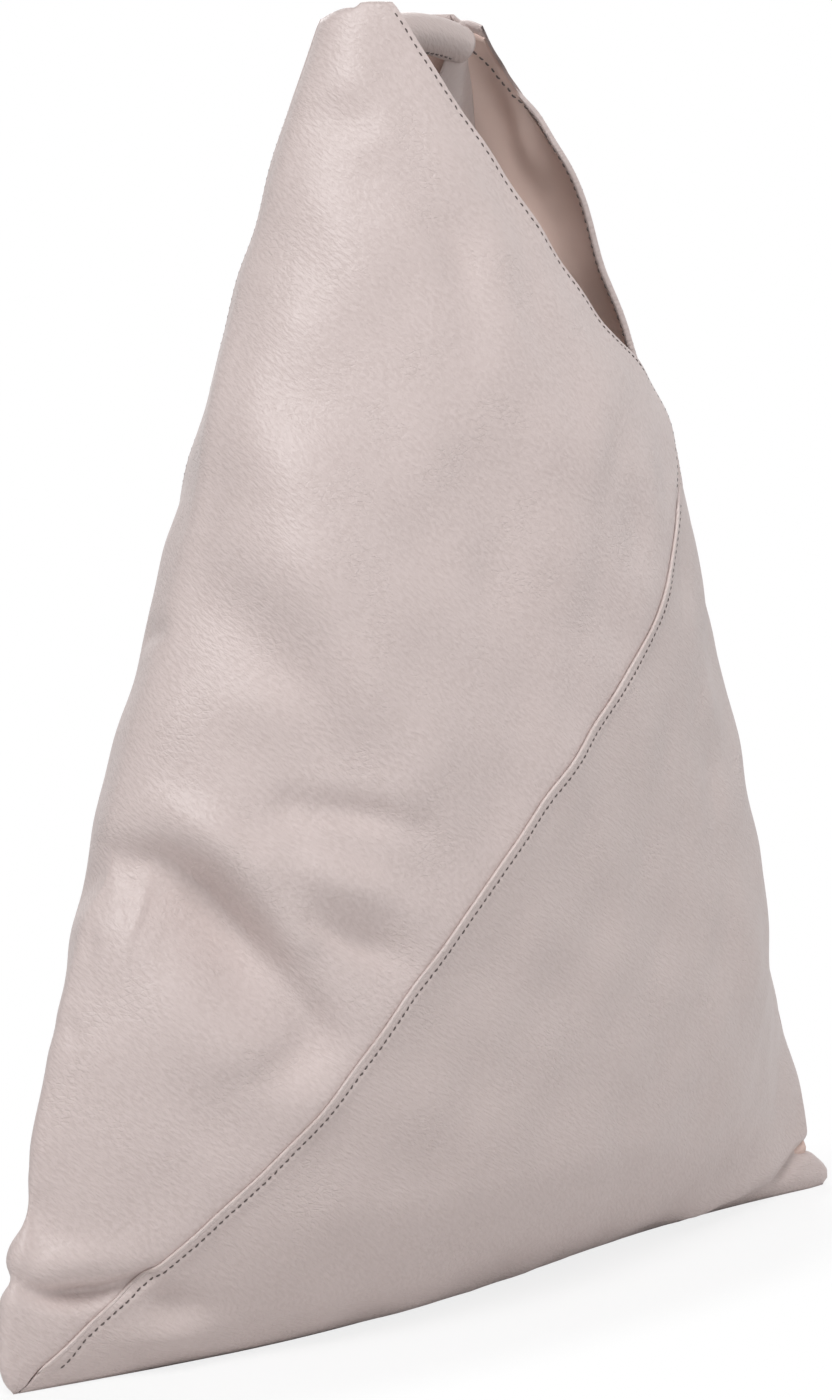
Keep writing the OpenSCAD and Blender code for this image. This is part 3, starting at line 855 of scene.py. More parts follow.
    def seam_share(self, z: np.ndarray) -> np.ndarray:
        """1 where a panel's edge is in a seam and 0 where it is a mouth edge."""
        mouth = self.surface.form.mouth_height
        return 1 - smooth_step(z, mouth - self.seam_fade, mouth + self.seam_fade)

    def rim(self, distance: np.ndarray, thickness: float) -> np.ndarray:
        """Share of the half thickness that a rounded edge has at a distance from it."""
        t = np.clip(distance / (thickness / 2), 0.0, 1.0)
        return np.sqrt(np.clip(1 - (1 - t) ** 2, self.rim_least, 1.0))

    def dressed(
        self, z: np.ndarray, from_first: np.ndarray, from_last: np.ndarray
    ) -> tuple[np.ndarray, np.ndarray]:
        """Outer and inner distances of the leather, with its hems, lips, tucks and grooves.

        Args:
            z: heights.
            from_first: distances from the first edge.
            from_last: distances from the last edge.

        Returns:
            The outer and the inner distances outside the core surface.
        """
        wall = self.surface.form.wall
        seam = self.seam_share(z) * smooth_step(z, 0.0, self.seam_start)
        mouth = 1 - self.seam_share(z)
        nearest = np.minimum(from_first, from_last)
        outer = np.full(z.shape, wall.leather_out)
        inner = np.full(z.shape, wall.leather_in)
        outer -= seam * self.tuck * np.exp(-from_first / self.tuck_width)
        lip = 1 - smooth_step(from_last, self.lip_width * 0.6, self.lip_width * 1.4)
        outer += seam * self.lip_swell * lip
        outer -= seam * self.groove * bell(from_last, self.seam_groove_at, self.groove_width)
        hem = 1 - smooth_step(nearest, self.hem_turn * 0.8, self.hem_turn * 1.5)
        outer += mouth * self.hem_swell * hem
        outer -= mouth * self.groove * bell(nearest, self.hem_groove_at, self.groove_width)
        from_turn = np.minimum(from_first, from_last / self.side_share)
        turned = 1 - smooth_step(from_turn, self.hem_turn * 0.98, self.hem_turn * 1.03)
        inner -= mouth * wall.leather_in * turned
        middle = (outer + inner) / 2
        half = (outer - inner) / 2
        at_mouth, at_seam = self.rim(nearest, wall.leather_out), self.rim(nearest, self.seam_round)
        round_by = np.where(mouth > 0.5, at_mouth, at_seam)
        return middle + half * round_by, middle - half * round_by

    def shell(
        self, name: str, grid: tuple[np.ndarray, np.ndarray], outer: np.ndarray, inner: np.ndarray
    ) -> bpy.types.Object:
        """Builds a closed shell over a grid.

        Args:
            name: the piece's name.
            grid: angles and heights of the grid, in the panel's own turn.
            outer: distances of the outer layer outside the core surface.
            inner: distances of the inner layer.

        Returns:
            The new object.
        """
        angle, height = grid
        drop = self.crown(angle, height)
        z = np.where(height > 0, height - drop, height)
        outside = self.surface.skin(angle + self.turn, z, outer)
        inside = self.surface.skin(angle + self.turn, z, inner)
        steps = np.linalg.norm(np.diff(outside, axis=1, prepend=outside[:, :1]), axis=-1)
        run = np.cumsum(steps, axis=1)
        middle = self.side_cols + len(self.EDGE_STEPS) - 2
        across = run - run[:, middle : middle + 1]
        steps = np.linalg.norm(np.diff(outside, axis=0, prepend=outside[:1]), axis=-1)
        rise = np.cumsum(steps, axis=0)
        up = np.broadcast_to(rise[:, middle : middle + 1], across.shape)
        uvs = np.stack([across, up], -1)
        faces = shell_faces(*angle.shape)
        return make_object(name, np.stack([outside, inside]), faces, np.stack([uvs, uvs]))

    def leather(self, name: str) -> bpy.types.Object:
        """Builds the leather panel.

        Args:
            name: the piece's name.

        Returns:
            The new object.
        """
        angle, height, from_first, from_last = self.grid(self.seam_inset)
        z = np.maximum(height, 0.0)
        outer, inner = self.dressed(z, from_first, from_last)
        return self.shell(name, (angle, height), outer, inner)

    def lining(self, name: str) -> bpy.types.Object:
        """Builds the lining that lies inside the panel.

        Args:
            name: the piece's name.

        Returns:
            The new object.
        """
        wall = self.surface.form.wall
        angle, height, _, _ = self.grid(self.seam_inset, self.hem_turn - self.lining_gap)
        top = self.surface.form.height - self.lining_drop
        height = np.where(height > 0, height * top / self.surface.form.height, height)
        outer = np.full(angle.shape, wall.lining_out)
        inner = np.full(angle.shape, wall.lining_in)
        return self.shell(name, (angle, height), outer, inner)


@dataclass(frozen=True)
class Thread:
    """A row of separate stitches.

    Attributes:
        pitch: distance from stitch to stitch.
        length: length of the thread that shows of a stitch.
        diameter: diameter of the thread.
        sides: how many sides the thread has.
        rings: how many rings of vertices each stitch has.
        arch: how far its middle stands above its ends.
        sink: how far its ends lie in the leather.
        wander: how unevenly it is sewn.
        tilt: how much more its ends wander than its middle.
        taper: how much thinner its ends are.
        seed: what the unevenness is drawn from.
    """

    pitch: float = 2.95 * MM
    length: float = 2.0 * MM
    diameter: float = 0.75 * MM
    sides: int = 6
    rings: int = 7
    arch: float = 0.28 * MM
    sink: float = 0.2 * MM
    wander: float = 0.08 * MM
    tilt: float = 1.5
    taper: float = 0.45
    seed: int = 7

    def sew(self, name: str, paths: list[tuple[np.ndarray, np.ndarray]]) -> bpy.types.Object:
        """Lays stitches along paths.

        Args:
            name: the piece's name.
            paths: for each row, its points and the outward directions there.

        Returns:
            One object that holds all the stitches.
        """
        random = np.random.default_rng(self.seed)
        points, faces, uvs = [], [], []
        for line, outs in paths:
            lengths = np.linalg.norm(np.diff(line, axis=0), axis=1)
            run = np.concatenate([[0.0], np.cumsum(lengths)])
            count = int(run[-1] / self.pitch)
            spare = (run[-1] - count * self.pitch) / 2
            for k in range(count):
                middle = spare + (k + 0.5) * self.pitch
                marks = [middle - self.length / 2, middle, middle + self.length / 2]
                ends = [np.interp(marks, run, line[:, i]) for i in range(3)]
                start, centre, stop = np.array(ends).T
                out = unit(np.array([np.interp(middle, run, outs[:, i]) for i in range(3)]))
                along = unit(stop - start)
                side = unit(np.cross(along, out))
                shift = side * random.normal(0, self.wander)
                tilt = side * random.normal(0, self.wander * self.tilt)
                first = len(points)
                for ring in range(self.rings):
                    t = 2 * ring / (self.rings - 1) - 1
                    place = centre + shift + tilt * t + along * t * self.length / 2
                    place = place + out * (self.arch * (1 - t * t) - self.sink)
                    radius = self.diameter / 2 * (1 - self.taper * t**4)
                    for s in range(self.sides):
                        turn = 2 * math.pi * s / self.sides
                        spoke = math.cos(turn) * out + math.sin(turn) * side
                        points.append(place + radius * spoke)
                        uvs.append((t * self.length / 2, self.diameter * math.pi * s / self.sides))
                faces += cord_faces(self.rings, self.sides, first)
        return make_object(name, np.array(points), faces, np.array(uvs))


def tube(
    name: str, line: np.ndarray, outs: np.ndarray, radius: np.ndarray, sides: int = 12
) -> bpy.types.Object:
    """Builds a closed round cord along a line.

    Args:
        name: the piece's name.
        line: points of the middle of the cord.
        outs: a direction off the line at each point.
        radius: the radius at each point.
        sides: how many sides the cord has.

    Returns:
        The new object.
    """
    along = unit(np.gradient(line, axis=0))
    side = unit(np.cross(along, outs))
    up = np.cross(side, along)
    turn = 2 * np.pi * np.arange(sides) / sides
    ring = np.cos(turn)[None, :, None] * up[:, None] + np.sin(turn)[None, :, None] * side[:, None]
    points = line[:, None] + radius[:, None, None] * ring
    run = np.concatenate([[0.0], np.cumsum(np.linalg.norm(np.diff(line, axis=0), axis=1))])
    uvs = np.stack(np.broadcast_arrays(run[:, None], turn[None, :] * radius.mean()), -1)
    return make_object(name, points, cord_faces(len(line), sides), uvs)


@dataclass
class Seams:
    """The piping and the stitches of both diagonal seams and of the mouth edges.

    Attributes:
        surface: the folded surface of the bag.
        piping_radius: radius of the piping.
        piping_out: distance of its middle outside the core surface.
        piping_ends: over how many points its ends grow thin.
        piping_tip: share of the radius that is left at its ends.
        low: height where the seams' rows start.
        below_mouth: how far below the mouth they end.
        hem_low: how far above the seams' upper end the hems' rows start.
        hem_high: how far below the peaks they end.
        inner_side: how far the hems' inner stitches stand out to the inside.
        side_inset: share of the first edge's inset that the last edge's row has.
        points: how many points a row's line has.
        thread: the stitches of the seams.
        hem_thread: the stitches of the mouth edges.
    """

    surface: Surface
    piping_radius: float = 0.8 * MM
    piping_out: float = 2.35 * MM
    low: float = 6 * MM
    below_mouth: float = 3 * MM
    piping_ends: int = 4
    piping_tip: float = 0.35
    hem_low: float = 2 * MM
    hem_high: float = 4 * MM
    inner_side: float = 0.05 * MM
    side_inset: float = 0.5
    points: int = 400
    thread: Thread = Thread()
    hem_thread: Thread = Thread(pitch=3.4 * MM, length=2.0 * MM, seed=11)

    def line(
        self, panel: Panel, first: bool, low: float, high: float, inset: float, out: float
    ) -> tuple[np.ndarray, np.ndarray]:
        """A line along one of a panel's edges.

        Args:
            panel: the panel.
            first: whether it is the panel's first edge.
            low: the height where the line starts.
            high: the height where it ends.
            inset: its distance in from the edge.
            out: its distance outside the core surface.

        Returns:
            The line's points, and the outward directions there.
        """
        z = np.linspace(low, high, self.points)
        angle = panel.edge_places(first, z, np.full(z.shape, inset))
        place = z - panel.crown(angle, z)
        points = self.surface.skin(angle + panel.turn, place, np.full(z.shape, out))
        return points, self.surface.form.outward(angle + panel.turn, place)

    def piping(self, name: str, panel: Panel) -> bpy.types.Object:
        """Builds the piping of the seam at a panel's first edge."""
        form = self.surface.form
        high = form.mouth_height - self.below_mouth
        line, outs = self.line(panel, True, self.low, high, 0.0, self.piping_out)
        ends = np.minimum(np.arange(len(line)), np.arange(len(line))[::-1]) / self.piping_ends
        share = np.clip(self.piping_tip + (1 - self.piping_tip) * ends, 0, 1)
        return tube(name, line, outs, self.piping_radius * share)

    def seam_stitches(self, name: str, panel: Panel) -> bpy.types.Object:
        """Sews the row of stitches beside the seam at a panel's last edge."""
        form = self.surface.form
        high = form.mouth_height - self.below_mouth
        out = form.wall.leather_out + panel.lip_swell - panel.groove
        row = self.line(panel, False, self.low, high, panel.seam_groove_at, out)
        return self.thread.sew(name, [row])

    def hem_stitches(self, name: str, panel: Panel, first: bool) -> bpy.types.Object:
        """Sews the row of stitches along a mouth edge, seen from outside and from inside."""
        form = self.surface.form
        low, high = form.mouth_height + self.hem_low, form.height - self.hem_high
        out = form.wall.leather_out + panel.hem_swell - panel.groove
        inset = panel.hem_groove_at if first else panel.hem_groove_at * self.side_inset
        outside = self.line(panel, first, low, high, inset, out)
        inside, outs = self.line(panel, first, low, high, inset, -self.inner_side)
        return self.hem_thread.sew(name, [outside, (inside, -outs)])


class Signal:
    """A number that a node gives. Its arithmetic adds Math nodes."""

    def __init__(self, tree: "Tree", socket: bpy.types.NodeSocket) -> None:
        """Wraps a socket of a tree."""
        self.tree = tree
        self.socket = socket

    def __add__(self, other: "Signal | float") -> "Signal":
        """Adds another number."""
        return self.tree.math("ADD", self, other)

    def __radd__(self, other: float) -> "Signal":
        """Adds this to a number."""
        return self.tree.math("ADD", other, self)

    def __sub__(self, other: "Signal | float") -> "Signal":
        """Takes another number away."""
        return self.tree.math("SUBTRACT", self, other)

    def __rsub__(self, other: float) -> "Signal":
        """Takes this away from a number."""
        return self.tree.math("SUBTRACT", other, self)

    def __mul__(self, other: "Signal | float") -> "Signal":
        """Multiplies by another number."""
        return self.tree.math("MULTIPLY", self, other)

    def __rmul__(self, other: float) -> "Signal":
        """Multiplies a number by this."""
        return self.tree.math("MULTIPLY", other, self)

    def rise(self, low: float, high: float) -> "Signal":
        """Rises smoothly from 0 at low to 1 at high."""
        node = self.tree.add(
            "ShaderNodeMapRange",
            {"interpolation_type": "SMOOTHSTEP"},
            {"Value": self, "From Min": low, "From Max": high},
        )
        return Signal(self.tree, node.outputs["Result"])


class Tree:
    """The node tree of one finish, or of the room."""

    # Angle of the slanting strokes in degrees, and their length against their width
    SLANT = 36
    STROKE_LENGTH = 2.8

    # What the scale of a wave texture is, times the distance from stripe to stripe
    WAVE_SCALE = 0.314

    def __init__(self, owner: bpy.types.Material | bpy.types.World) -> None:
        """Empties the tree of a new material or world.

        Args:
            owner: the material or world.
        """
        self.owner = owner
        owner.use_nodes = True
        owner.node_tree.nodes.clear()

    @classmethod
    def of(cls, name: str) -> "Tree":
        """The empty tree of a new material."""
        return cls(bpy.data.materials.new(name))

    def add(
        self, kind: str, settings: dict | None = None, inputs: dict | None = None
    ) -> bpy.types.Node:
        """Adds a node.

        Args:
            kind: the node's type.
            settings: its settings, which are set first.
            inputs: values or links of its sockets, by name or number.

        Returns:
            The new node.
        """
        tree = self.owner.node_tree
        node = tree.nodes.new(kind)
        for key, value in (settings or {}).items():
            setattr(node, key, value)
        for key, value in (inputs or {}).items():
            socket = node.inputs[key]
            if isinstance(value, Signal):
                tree.links.new(value.socket, socket)
            elif isinstance(value, bpy.types.NodeSocket):
                tree.links.new(value, socket)
            elif isinstance(value, tuple) and len(value) == 3 and socket.type == "RGBA":
                socket.default_value = (*value, 1.0)
            else:
                socket.default_value = value
        return node

    def math(self, operation: str, a: Signal | float, b: Signal | float) -> Signal:
        """Adds a Math node.

        Args:
            operation: its operation.
            a: its first number.
            b: its second number.

        Returns:
            Its result.
        """
        node = self.add("ShaderNodeMath", {"operation": operation}, {0: a, 1: b})
        return Signal(self, node.outputs[0])

    def mix(
        self, factor: Signal | float, a: Color | bpy.types.NodeSocket, b: Color | bpy.types.NodeSocket
    ) -> bpy.types.NodeSocket:
        """Mixes two colours.

        Args:
            factor: 0 for the first colour, 1 for the second.
            a: the first colour.
            b: the second colour.

        Returns:
            The mixed colour.
        """
        node = self.add("ShaderNodeMix", {"data_type": "RGBA"}, {0: factor, 6: a, 7: b})
        return node.outputs[2]

    def place(
        self, turn: Triple = (0.0, 0.0, 0.0), stretch: Triple = (1.0, 1.0, 1.0)
    ) -> bpy.types.NodeSocket:
        """Object coordinates, turned and stretched.

        Args:
            turn: angles about the three axes, in radians.
            stretch: scale along the three axes.

        Returns:
            The coordinates.
        """
        place = self.add("ShaderNodeTexCoord").outputs["Object"]
        inputs = {"Vector": place, "Rotation": turn, "Scale": stretch}
        return self.add("ShaderNodeMapping", None, inputs).outputs["Vector"]

    def slanted(self, mapped: bool) -> bpy.types.NodeSocket:
        """Coordinates that draw a pattern out into slanting strokes.

        Args:
            mapped: whether they follow the piece's map, and not the object's own axes.

        Returns:
            The coordinates.
        """
        place = self.weave_place() if mapped else self.place()
        slant = math.radians(self.SLANT)
        turn = (0.0, 0.0, slant) if mapped else (0.0, slant, 0.0)
        inputs = {"Vector": place, "Rotation": turn, "Scale": (self.STROKE_LENGTH, 1.0, 1.0)}
        return self.add("ShaderNodeMapping", {"vector_type": "TEXTURE"}, inputs).outputs["Vector"]

    def weave_place(self) -> bpy.types.NodeSocket:
        """The piece's own map coordinates, in metres on its surface."""
        return self.add("ShaderNodeUVMap", {"uv_map": "surface"}).outputs["UV"]

    def noise(
        self, place: bpy.types.NodeSocket, size: float, detail: float = 3.0, roughness: float = 0.55
    ) -> Signal:
        """Cloudy noise.

        Args:
            place: the coordinates that it reads.
            size: size of its patches, in metres.
            detail: how many finer layers it has.
            roughness: strength of the finer layers.

        Returns:
            A number around 0.5.
        """
        inputs = {"Vector": place, "Scale": 1 / size, "Detail": detail, "Roughness": roughness}
        return Signal(self, self.add("ShaderNodeTexNoise", None, inputs).outputs[0])

    def cells(self, place: bpy.types.NodeSocket, size: float, feature: str) -> Signal:
        """Cells with a distance from their middle or their edge.

        Args:
            place: the coordinates that it reads.
            size: size of a cell, in metres.
            feature: which distance it gives.

        Returns:
            The distance.
        """
        inputs = {"Vector": place, "Scale": 1 / size}
        node = self.add("ShaderNodeTexVoronoi", {"feature": feature}, inputs)
        return Signal(self, node.outputs["Distance"])

    def stripes(self, place: bpy.types.NodeSocket, size: float, direction: str) -> Signal:
        """Even round stripes.

        Args:
            place: the coordinates that it reads.
            size: distance from stripe to stripe, in metres.
            direction: the axis across the stripes.

        Returns:
            A number from 0 to 1.
        """
        node = self.add(
            "ShaderNodeTexWave",
            {"wave_type": "BANDS", "bands_direction": direction},
            {"Vector": place, "Scale": self.WAVE_SCALE / size},
        )
        return Signal(self, node.outputs["Fac"])

    def bump(
        self, height: Signal, depth: float, strength: float, after: bpy.types.NodeSocket | None = None
    ) -> bpy.types.NodeSocket:
        """Turns a height into a normal.

        Args:
            height: the height, from 0 to 1.
            depth: how deep a height of 1 is, in metres.
            strength: share of the effect.
            after: a normal that it adds to.

        Returns:
            The normal.
        """
        inputs = {"Strength": strength, "Distance": depth, "Height": height}
        if after is not None:
            inputs["Normal"] = after
        return self.add("ShaderNodeBump", None, inputs).outputs["Normal"]

    def finish(
        self,
        color: bpy.types.NodeSocket,
        roughness: Signal | float,
        normal: bpy.types.NodeSocket,
        **constants: float,
    ) -> bpy.types.Material:
        """Ends the tree in a Principled shader.

        Args:
            color: the base colour.
            roughness: the roughness.
            normal: the normal.
            constants: values of the shader's own sockets, with _ for a space.

        Returns:
            The finished material.
        """
        inputs = {"Base Color": color, "Roughness": roughness, "Normal": normal}
        for key, value in constants.items():
            inputs[key.replace("_", " ")] = value
        shader = self.add("ShaderNodeBsdfPrincipled", None, inputs)
        self.add("ShaderNodeOutputMaterial", None, {"Surface": shader.outputs[0]})
        return self.owner


@dataclass(frozen=True)
class Leather:
    """Smooth soft leather with a fine grain.

    Attributes:
        name: the material's name.
        color: its colour.
        shade: its colour in darker patches.
        pits: its colour in the fine pits between the strokes of the grain.
        stroke: width of those strokes.
        stroke_depth: their depth.
        mapped: whether the strokes follow the piece's own map.
        roughness: its mean roughness.
        grain: size of the pebbles of the grain.
        grain_depth: their depth.
        fine_grain: size of the finest grain.
        crease: distance between fine creases.
        crease_depth: their depth.
        patch: size of the large soft patches.
        mottle: size of the small ones.
        crease_patch: size of the areas that have creases.
    """

    name: str
    color: Color
    shade: Color
    pits: Color = (0.52, 0.425, 0.40)
    stroke: float = 1.15 * MM
    stroke_depth: float = 0.16 * MM
    mapped: bool = True
    roughness: float = 0.44
    grain: float = 0.95 * MM
    grain_depth: float = 0.13 * MM
    fine_grain: float = 0.45 * MM
    crease: float = 3.4 * MM
    crease_depth: float = 0.16 * MM
    patch: float = 55 * MM
    mottle: float = 7 * MM
    crease_patch: float = 26 * MM

    def material(self) -> bpy.types.Material:
        """Builds the node material."""
        tree = Tree.of(self.name)
        place = tree.place()
        patches = tree.noise(place, self.patch, 3.0)
        mottle = tree.noise(place, self.mottle, 4.0, 0.6)
        pebbles = tree.cells(place, self.grain, "SMOOTH_F1")
        fine = tree.noise(place, self.fine_grain, 2.0)
        strokes = tree.noise(tree.slanted(self.mapped), self.stroke, 2.0, 0.5).rise(0.3, 0.7)
        turned = tree.place((0.3, 0.2, 0.5), (1.0, 1.0, 1.6))
        lines = tree.cells(turned, self.crease, "DISTANCE_TO_EDGE")
        creased = tree.noise(place, self.crease_patch, 2.0).rise(0.5, 0.68)
        crease = (1 - lines.rise(0.0, 0.16)) * creased
        color = tree.mix((0.55 * patches + 0.45 * mottle).rise(0.35, 0.7), self.shade, self.color)
        color = tree.mix(crease * 0.3, color, self.shade)
        pit = (1 - strokes) * (0.35 + 0.65 * mottle.rise(0.3, 0.65))
        color = tree.mix(pit * 0.5, color, self.pits)
        rough = self.roughness + 0.12 * (mottle - 0.5) + 0.1 * (pebbles - 0.4)
        normal = tree.bump(pebbles + 0.5 * fine, self.grain_depth, 0.55)
        normal = tree.bump(strokes, self.stroke_depth, 0.8, normal)
        normal = tree.bump(1 - crease, self.crease_depth, 0.6, normal)
        return tree.finish(color, rough, normal, Specular_IOR_Level=0.5, Sheen_Weight=0.04)


@dataclass(frozen=True)
class Cloth:
    """Woven cloth or tape that follows the piece's map.

    Attributes:
        name: the material's name.
        color: its colour.
        shade: its colour between the threads.
        pitch: distance from thread to thread.
        roughness: its roughness.
        mapped: whether the threads follow the piece's own map.
        patch: size of its soft patches.
        depth: depth of the weave.
    """

    name: str
    color: Color
    shade: Color
    pitch: float = 0.42 * MM
    roughness: float = 0.78
    mapped: bool = True
    patch: float = 18 * MM
    depth: float = 0.08 * MM

    def material(self) -> bpy.types.Material:
        """Builds the node material."""
        tree = Tree.of(self.name)
        place = tree.place()
        weave = tree.weave_place() if self.mapped else place
        warp = tree.stripes(weave, self.pitch, "X")
        weft = tree.stripes(weave, self.pitch, "Y" if self.mapped else "Z")
        threads = warp * weft + (1 - warp) * (1 - weft)
        patches = tree.noise(place, self.patch, 3.0)
        color = tree.mix((0.6 * threads + 0.5 * patches).rise(0.2, 0.85), self.shade, self.color)
        normal = tree.bump(threads, self.depth, 0.5)
        return tree.finish(color, self.roughness, normal, Sheen_Weight=0.15, Specular_IOR_Level=0.3)


@dataclass(frozen=True)
class SewingThread:
    """Twisted sewing thread, with a colour, a shade between its strands, and their pitch."""

    name: str = "sewing_thread"
    # Its colour is the thread's own dark taupe, made darker still as painted shade of the holes that the
    # stitches sink into
    color: Color = (0.13, 0.098, 0.09)
    shade: Color = (0.06, 0.045, 0.04)
    pitch: float = 0.25 * MM
    depth: float = 0.05 * MM

    def material(self) -> bpy.types.Material:
        """Builds the node material."""
        tree = Tree.of(self.name)
        strands = tree.stripes(tree.place((0.4, 0.7, 0.3)), self.pitch, "DIAGONAL")
        color = tree.mix(strands, self.shade, self.color)
        return tree.finish(color, 0.6, tree.bump(strands, self.depth, 0.6), Sheen_Weight=0.2)


@dataclass(frozen=True)
class Brass:
    """Satin brass of the zip, with a colour, a darker shade, and its brush marks."""

    name: str = "satin_brass"
    color: Color = (0.72, 0.52, 0.27)
    shade: Color = (0.55, 0.38, 0.19)
    brush: float = 0.6 * MM
    brush_depth: float = 0.03 * MM
    patch: float = 3 * MM

    def material(self) -> bpy.types.Material:
        """Builds the node material."""
        tree = Tree.of(self.name)
        place = tree.place((0.0, 0.0, 0.0), (1.0, 1.0, 8.0))
        brushed = tree.noise(place, self.brush, 3.0)
        patches = tree.noise(tree.place(), self.patch, 2.0)
        color = tree.mix(patches.rise(0.35, 0.7), self.shade, self.color)
        rough = 0.24 + 0.2 * brushed
        normal = tree.bump(brushed, self.brush_depth, 0.3)
        return tree.finish(color, rough, normal, Metallic=1.0)


# The handle's tab: heights, near and far edges along the handle, and places behind its middle
TAB = (
    (494, 24, 29, 1),
    (486, 23.5, 33, 1.5),
    (478, 20.5, 37, 3),
    (470, 19, 42, 5),
    (460, 19, 46, 7),
    (448, 21, 50, 9),
    (438, 24, 50, 10),
    (432, 30, 45, 11),
)


@dataclass
class Handle:
    """The rolled handle with its seam, and the tabs that hold its ends.

    Attributes:
        surface: the folded surface of the bag.
        diameter: thickness of the roll.
        arch_radius: radius of the arch along its middle.
        arch_half: half the angle of that arch, in degrees.
        turn: its angle to the X axis, in degrees.
        drop: how far its top lies below the peaks.
        leather: thickness of the sleeve.
        sleeve_grid: rings of the sleeve, and sides of each.
        groove: depth of the groove under it, and its width in radians.
        lips: height of the lips beside the groove, their angle from it and their width.
        waist: share by which the roll thins near its ends, where, and over what share.
        end_round: how far its ends are rounded, and from which share of the length.
        stitch_aside: distance of the stitches from the groove.
        stitch_out: how far their middle lies inside the roll.
        stitch_margin: angle without stitches at each end, in degrees.
        tab_thick: thickness of a tab.
        tab_grid: rows and columns of a tab.
        belly: how far a tab's middle swells.
        belly_fade: heights between which the swelling fades in.
        ripple: height of the soft waves across a tab's foot.
        ripple_turns: how many radians the waves run over, and where they start.
        ripple_fade: the height where they start, and over which they grow.
    """

    surface: Surface
    diameter: float = 15 * MM
    arch_radius: float = 118 * MM
    arch_half: float = 13.5
    turn: float = 10.37
    drop: float = 1.0 * MM
    leather: float = 1.3 * MM
    sleeve_grid: tuple[int, int] = (72, 48)
    groove: tuple[float, float] = (0.45 * MM, 0.09)
    lips: Triple = (0.22 * MM, 0.22, 0.1)
    waist: Triple = (0.03, 0.86, 0.06)
    end_round: tuple[float, float] = (0.35 * MM, 0.93)
    stitch_aside: float = 2.2 * MM
    stitch_out: float = 0.1 * MM
    stitch_margin: float = 3
    tab_thick: float = 1.2 * MM
    tab_grid: tuple[int, int] = (48, 21)
    belly: float = 3.0 * MM
    belly_fade: tuple[float, float] = (425 * MM, 470 * MM)
    ripple: float = 0.8 * MM
    ripple_turns: tuple[float, float] = (9.0, 1.0)
    ripple_fade: tuple[float, float] = (480 * MM, 20 * MM)

    def arch(self) -> tuple[np.ndarray, np.ndarray, np.ndarray]:
        """Where the arch lies.

        Returns:
            The centre of the arch, the direction from its left to its right end, and up.
        """
        form = self.surface.form
        top = form.height - self.drop
        lean = (top / form.height) ** form.lean_power
        centre_z = top - self.diameter / 2 - self.arch_radius
        centre = np.array([form.lean[0] * lean, form.lean[1] * lean, centre_z])
        turn = math.radians(self.turn)
        return centre, np.array([math.cos(turn), math.sin(turn), 0.0]), np.array([0.0, 0.0, 1.0])

    def spokes(self, angles: np.ndarray) -> np.ndarray:
        """Directions from the arch's centre at angles to its middle, in radians."""
        _, right, up = self.arch()
        return np.sin(angles)[:, None] * right + np.cos(angles)[:, None] * up

    def roll(self, share: np.ndarray, turn: np.ndarray) -> np.ndarray:
        """Radius of the roll, with the groove and the lips of its seam.

        Args:
            share: places along the handle, from -1 to 1.
            turn: angles round the roll, with the seam at half a turn.

        Returns:
            The radius at each place and angle.
        """
        depth, width = self.groove
        radius = np.full((share.size, turn.size), self.diameter / 2)
        radius -= depth * bell(turn, math.pi, width)
        height, place, width = self.lips
        radius += height * bell(np.abs(turn - math.pi), place, width)
        thin, place, width = self.waist
        radius *= 1 - thin * bell(np.abs(share), place, width)
        depth, start = self.end_round
        radius -= depth * smooth_step(np.abs(share), start, 1.0)
        return radius

    def sleeve(self, name: str) -> bpy.types.Object:
        """Builds the leather sleeve: a thick ring, led along the arch.

        Args:
            name: the piece's name.

        Returns:
            The new object.
        """
        steps, sides = self.sleeve_grid
        centre, _, _ = self.arch()
        angles = np.radians(np.linspace(-self.arch_half, self.arch_half, steps))
        outs = self.spokes(angles)
        line = centre + self.arch_radius * outs
        side = unit(np.cross(unit(np.gradient(line, axis=0)), outs))
        turn = 2 * np.pi * np.arange(sides) / sides
        radius = self.roll(np.linspace(-1, 1, steps)[:, None], turn[None, :])
        ring = np.cos(turn)[None, :, None] * outs[:, None] + np.sin(turn)[None, :, None] * side[:, None]
        outside = line[:, None] + radius[..., None] * ring
        inside = line[:, None] + (radius - self.leather)[..., None] * ring
        run = (angles * self.arch_radius)[:, None]
        uvs = np.stack(np.broadcast_arrays(run, (turn * self.diameter / 2)[None, :]), -1)
        faces = []
        layer = steps * sides
        for k in range(steps - 1):
            for s in range(sides):
                a, b = k * sides + s, k * sides + (s + 1) % sides
                faces.append([a, b, b + sides, a + sides])
                faces.append([layer + a, layer + a + sides, layer + b + sides, layer + b])
        for k, turned in ((0, True), (steps - 1, False)):
            for s in range(sides):
                a, b = k * sides + s, k * sides + (s + 1) % sides
                quad = [a, b, b + layer, a + layer]
                faces.append(quad[::-1] if turned else quad)
        return make_object(name, np.stack([outside, inside]), faces, np.stack([uvs, uvs]))

    def stitches(self, name: str) -> bpy.types.Object:
        """Sews the seam under the handle.

        Args:
            name: the piece's name.

        Returns:
            The new object.
        """
        centre, right, up = self.arch()
        end = self.arch_half - self.stitch_margin
        outs = self.spokes(np.radians(np.linspace(-end, end, 80)))
        radius = self.arch_radius - self.diameter / 2 + self.stitch_out
        line = centre + radius * outs + np.cross(right, up) * self.stitch_aside
        return Thread(pitch=3.0 * MM, length=1.8 * MM, seed=5).sew(name, [(line, -outs)])

